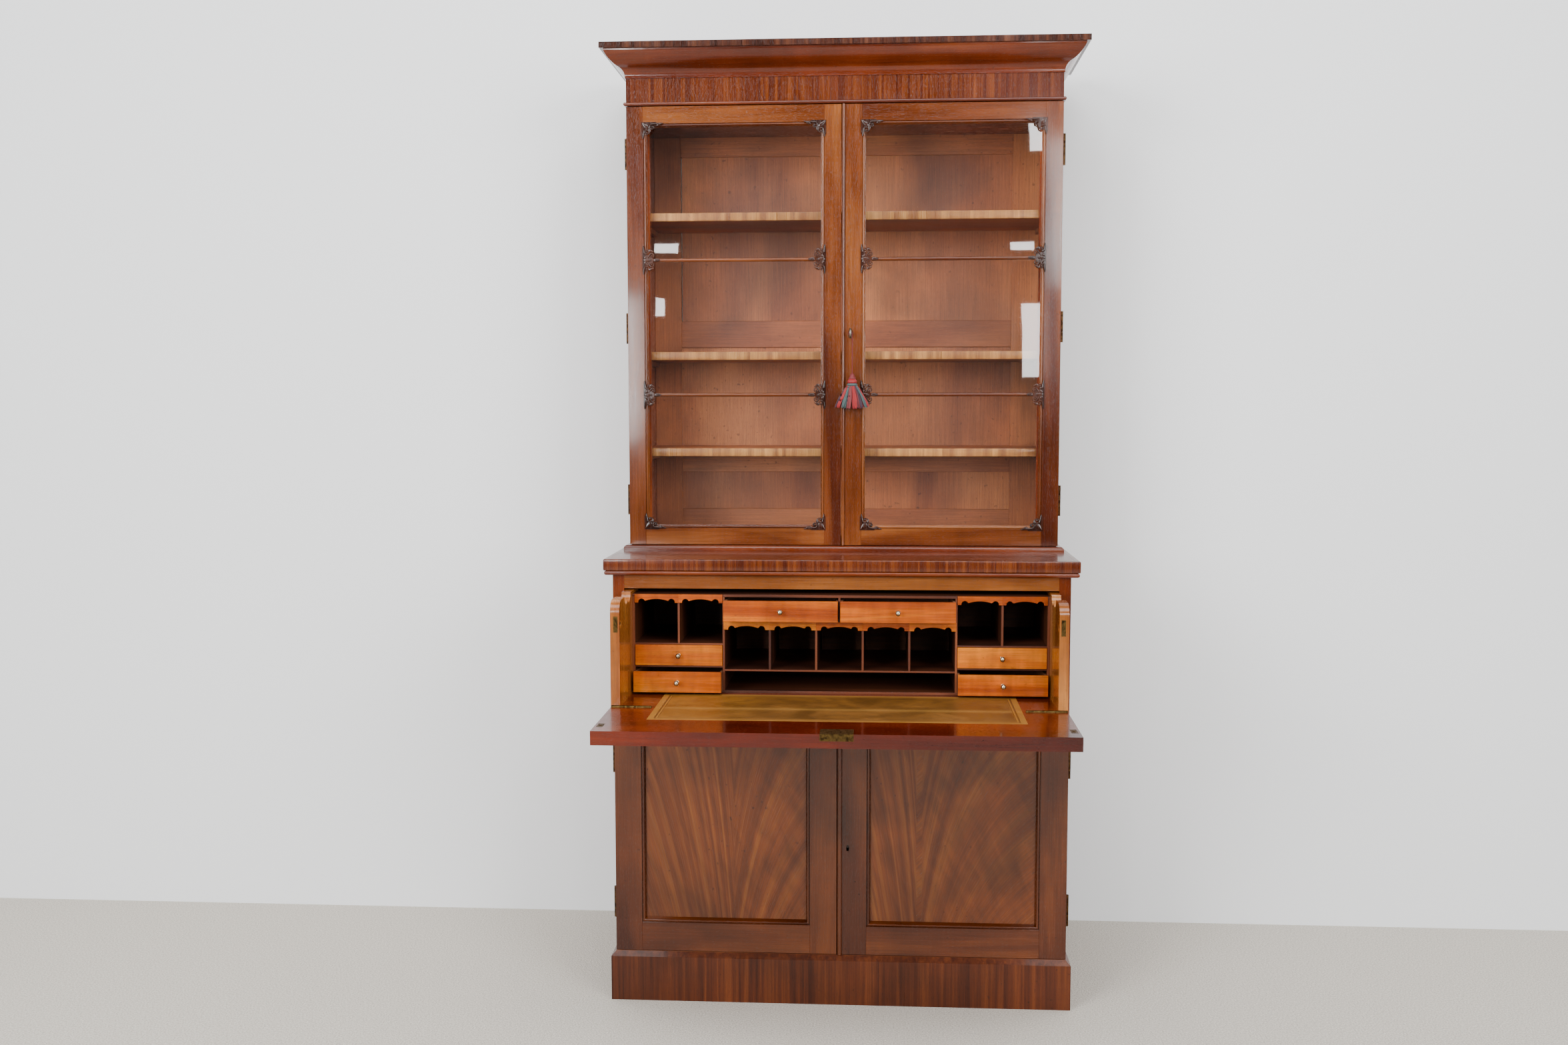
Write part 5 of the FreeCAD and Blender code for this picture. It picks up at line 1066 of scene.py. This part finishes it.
for number in (-1.5, -0.5, 0.5, 1.5):
    board(bm, (number * bay - 0.0025, number * bay + 0.0025), deep, (0.807, 0.921), "z", 0.0003)
finished("nest_of_pigeonholes", bm, "secretaire_drawer", nest_wood, ("nest_case",))

# ------------------------------------------------------------------ the valances
# Thin golden boards glued across the top of each pigeonhole, fretted with a wide flat arch
# between two small ones.

golden_wood = polished_wood("golden_figured_fronts", paint(148, 62, 4), paint(184, 86, 5), paint(208, 116, 18),
                            bands=22.0, ripple=0.9, dullness=0.24, coat=0.15, age=0.3)
fret_face = -0.025


def valance(bm, left, right, top):
    """One fretted board under a shelf; the outline runs round its arches from foot to foot."""
    middle = (left + right) / 2
    low = top - 0.020
    lobe, lobe_at, lobe_mid = 0.008, 0.035, top - 0.0185
    wide, wide_mid = 0.081, top - 0.092
    lower_edge = [(left, low), (middle - lobe_at - lobe, low)]
    lower_edge += arc((middle - lobe_at, lobe_mid), lobe, 180, 58, 8)
    spring = lower_edge[-1]
    reach = middle - spring[0]
    half_turn = math.degrees(math.asin(min(0.99, reach / wide)))
    crown = arc((middle, wide_mid), wide, 90 + half_turn, 90 - half_turn, 16)
    lower_edge += crown[1:-1]
    lower_edge += [(2 * middle - x, z) for x, z in reversed(lower_edge[2:11])]
    lower_edge += [(middle + lobe_at + lobe, low), (right, low)]
    outline = lower_edge + [(right, top), (left, top)]
    sawn(bm, outline, lambda x, z: (x, fret_face, z), (0, 0.003, 0), "x", 0.0002)


bm = new_wood()
for number in range(5):
    valance(bm, (number - 2.5) * bay, (number - 1.5) * bay, 0.921)
for edges in ((-end_in, -flank_middle), (-flank_middle, -flank_in), (flank_in, flank_middle),
              (flank_middle, end_in)):
    valance(bm, edges[0], edges[1], 0.983)
finished("fretted_valances", bm, "secretaire_drawer", golden_wood, ("valances",))

# ------------------------------------------------------------------ the small drawers
# Six shallow drawers with golden figured fronts and thin dark linings, each with a turned brass
# knob on a short stem and a rose.

lining_wood = polished_wood("small_drawer_lining", paint(92, 56, 38), paint(122, 78, 54), paint(144, 98, 70),
                            bands=12.0, dullness=0.45, coat=0.0)
knob_brass = old_metal("silvered_brass_knobs", paint(214, 204, 180), paint(128, 112, 82), 0.2)


def turned_knob(bm, x, y, z):
    """A knob turned from a rod: a rose against the front, a stem and a ball."""
    ball = arc((0.013, 0.0), 0.0065, 152, 0, 12)
    shape = [(0.0, 0.0046), (0.0009, 0.0046), (0.0014, 0.0034), (0.0026, 0.0028)] + [(a, b) for a, b in ball]
    chain = [bm.verts.new((x + max(radius, 0.0), y - out, z)) for out, radius in shape]
    edges = [bm.edges.new(pair) for pair in zip(chain, chain[1:])]
    bmesh.ops.spin(bm, geom=chain + edges, cent=(x, y, z), axis=(0, 1, 0), angle=2 * math.pi, steps=28,
                   use_merge=True)


for kind, inner, outer, low, high, face in (("centre", 0.003, 0.267, 0.9255, 0.9735, -0.063),
                                            ("upper", 0.273, 0.4779, 0.8155, 0.8635, -0.025),
                                            ("lower", 0.273, 0.4779, 0.7575, 0.8055, -0.057)):
    for word, side in (("left", -1), ("right", 1)):
        left, right = sorted((side * inner, side * outer))
        name = f"small_drawer_{kind}_{word}"
        behind, back, top = face + 0.008, face + 0.240, high - 0.003
        bm = new_wood()
        board(bm, (left, right), (face, behind), (low, high), "x", 0.0004)
        board(bm, (left, left + 0.005), (behind, back), (low, top), "y", 0.0004)
        board(bm, (right - 0.005, right), (behind, back), (low, top), "y", 0.0004)
        board(bm, (left + 0.005, right - 0.005), (back - 0.005, back), (low, top), "x", 0.0004)
        board(bm, (left + 0.005, right - 0.005), (behind, back - 0.005), (low, low + 0.004), "x", 0.0003)
        for face_made in bm.faces:
            face_made.material_index = 0 if face_made.calc_center_median().y < behind - 1e-5 else 1
        finished(f"{name}_boards", bm, name, [golden_wood, lining_wood], (name,))
        bm = bmesh.new()
        turned_knob(bm, (left + right) / 2, face, (low + high) / 2)
        bmesh.ops.remove_doubles(bm, verts=bm.verts, dist=1e-6)
        finished(f"{name}_brass_knob", bm, name, knob_brass, (f"{name}_knob",), crease=50)

# ------------------------------------------------------------------ screws
# Slotted brass screws hold the lock plate, the strike plates and the catch plates.

bm = bmesh.new()
turns = random.Random(7)
for x, y in ((-0.023, -0.402), (0.033, -0.402), (-0.023, -0.430), (0.033, -0.430)):
    screw(bm, x, y, 0.751, 0.0026, turns.uniform(0, 3.1))
for side in (-1, 1):
    for y in (-0.396, -0.370):
        screw(bm, side * 0.4934, y, 0.751, 0.0022, turns.uniform(0, 3.1))
finished("fall_plate_screws", bm, "fall", aged_brass)
bm = bmesh.new()
for side in (-1, 1):
    for z in (0.924, 0.950):
        before = set(bm.verts)
        screw(bm, 0.0, 0.0, 0.0, 0.0022, turns.uniform(0, 3.1))
        fresh = [vert for vert in bm.verts if vert not in before]
        bmesh.ops.rotate(bm, cent=(0, 0, 0), matrix=Matrix.Rotation(math.pi / 2, 3, "X"), verts=fresh)
        bmesh.ops.translate(bm, vec=(side * 0.4934, -0.1966, z), verts=fresh)
finished("catch_plate_screws", bm, "secretaire_drawer", aged_brass)

# ------------------------------------------------------------------ the room
# A pale carpet, a pale wall close behind the desk that shows from the front only, and soft
# light from large lamps high in front.

carpet, tree, shader = new_finish("pale_carpet")
place = object_place(tree)
tuft = cloudy(tree, place, 260.0, 3.0)
tree.links.new(tinted(tree, spread(tree, tuft, 0.3, 0.7), paint(176, 168, 156), paint(222, 216, 206)),
               shader.inputs["Base Color"])
shader.inputs["Roughness"].default_value = 0.95
nap = placed(tree, "ShaderNodeBump", {"Strength": 0.6, "Distance": 0.004, "Height": tuft})
tree.links.new(nap.outputs[0], shader.inputs["Normal"])
bm = bmesh.new()
bmesh.ops.create_grid(bm, x_segments=1, y_segments=1, size=9.0)
floor_mesh = bpy.data.meshes.new("carpet_floor")
bm.to_mesh(floor_mesh)
bm.free()
floor_mesh.materials.append(carpet)
floor = bpy.data.objects.new("carpet_floor", floor_mesh)
studio.objects.link(floor)

wall_paint, tree, shader = new_finish("pale_wall")
shader.inputs["Base Color"].default_value = paint(240, 242, 244)
shader.inputs["Roughness"].default_value = 0.9
clear = placed(tree, "ShaderNodeBsdfTransparent")
behind = placed(tree, "ShaderNodeNewGeometry").outputs["Backfacing"]
one_way = placed(tree, "ShaderNodeMixShader", {0: behind, 1: shader.outputs[0], 2: clear.outputs[0]})
tree.links.new(one_way.outputs[0], tree.nodes["Material Output"].inputs["Surface"])
bm = bmesh.new()
bmesh.ops.create_grid(bm, x_segments=1, y_segments=1, size=9.0)
bmesh.ops.rotate(bm, cent=(0, 0, 0), matrix=Matrix.Rotation(math.pi / 2, 3, "X"), verts=bm.verts)
bmesh.ops.translate(bm, vec=(0, 0.60, 0), verts=bm.verts)
wall_mesh = bpy.data.meshes.new("pale_wall")
bm.to_mesh(wall_mesh)
bm.free()
wall_mesh.materials.append(wall_paint)
wall = bpy.data.objects.new("pale_wall", wall_mesh)
studio.objects.link(wall)

sky = bpy.data.worlds.new("soft_room_light")
sky.use_nodes = True
sky.node_tree.nodes["Background"].inputs["Color"].default_value = (0.93, 0.96, 1.0, 1.0)
sky.node_tree.nodes["Background"].inputs["Strength"].default_value = 0.12
bpy.context.scene.world = sky
for name, place, wide, tall, power in (("lamp_left", (-3.4, -4.2, 2.7), 2.6, 2.6, 300.0),
                                       ("lamp_right", (3.5, -4.2, 2.5), 2.6, 2.6, 240.0),
                                       ("lamp_above", (0.0, -2.2, 4.3), 3.0, 2.0, 150.0),
                                       ("stile_glare_left", (-1.30, -4.3, 1.62), 0.12, 0.8, 12.0),
                                       ("stile_glare_right", (1.08, -4.3, 2.45), 0.12, 0.8, 10.0),
                                       ("window_right_low", (0.93, -4.3, 1.77), 0.11, 0.40, 2.6),
                                       ("window_right_high", (0.94, -4.3, 2.88), 0.08, 0.18, 1.0),
                                       ("window_right_middle", (0.87, -4.3, 2.28), 0.13, 0.045, 0.4),
                                       ("window_left_high", (-1.08, -4.3, 2.28), 0.13, 0.05, 0.45),
                                       ("window_left_low", (-1.12, -4.3, 1.96), 0.05, 0.10, 0.35)):
    lamp = bpy.data.lights.new(name, "AREA")
    lamp.shape = "RECTANGLE"
    lamp.size = wide
    lamp.size_y = tall
    lamp.energy = power
    holder = bpy.data.objects.new(name, lamp)
    aim = Vector((0.0, 0.1, 1.1)) - Vector(place)
    holder.matrix_world = Matrix.Translation(place) @ aim.to_track_quat("-Z", "Y").to_matrix().to_4x4()
    studio.objects.link(holder)
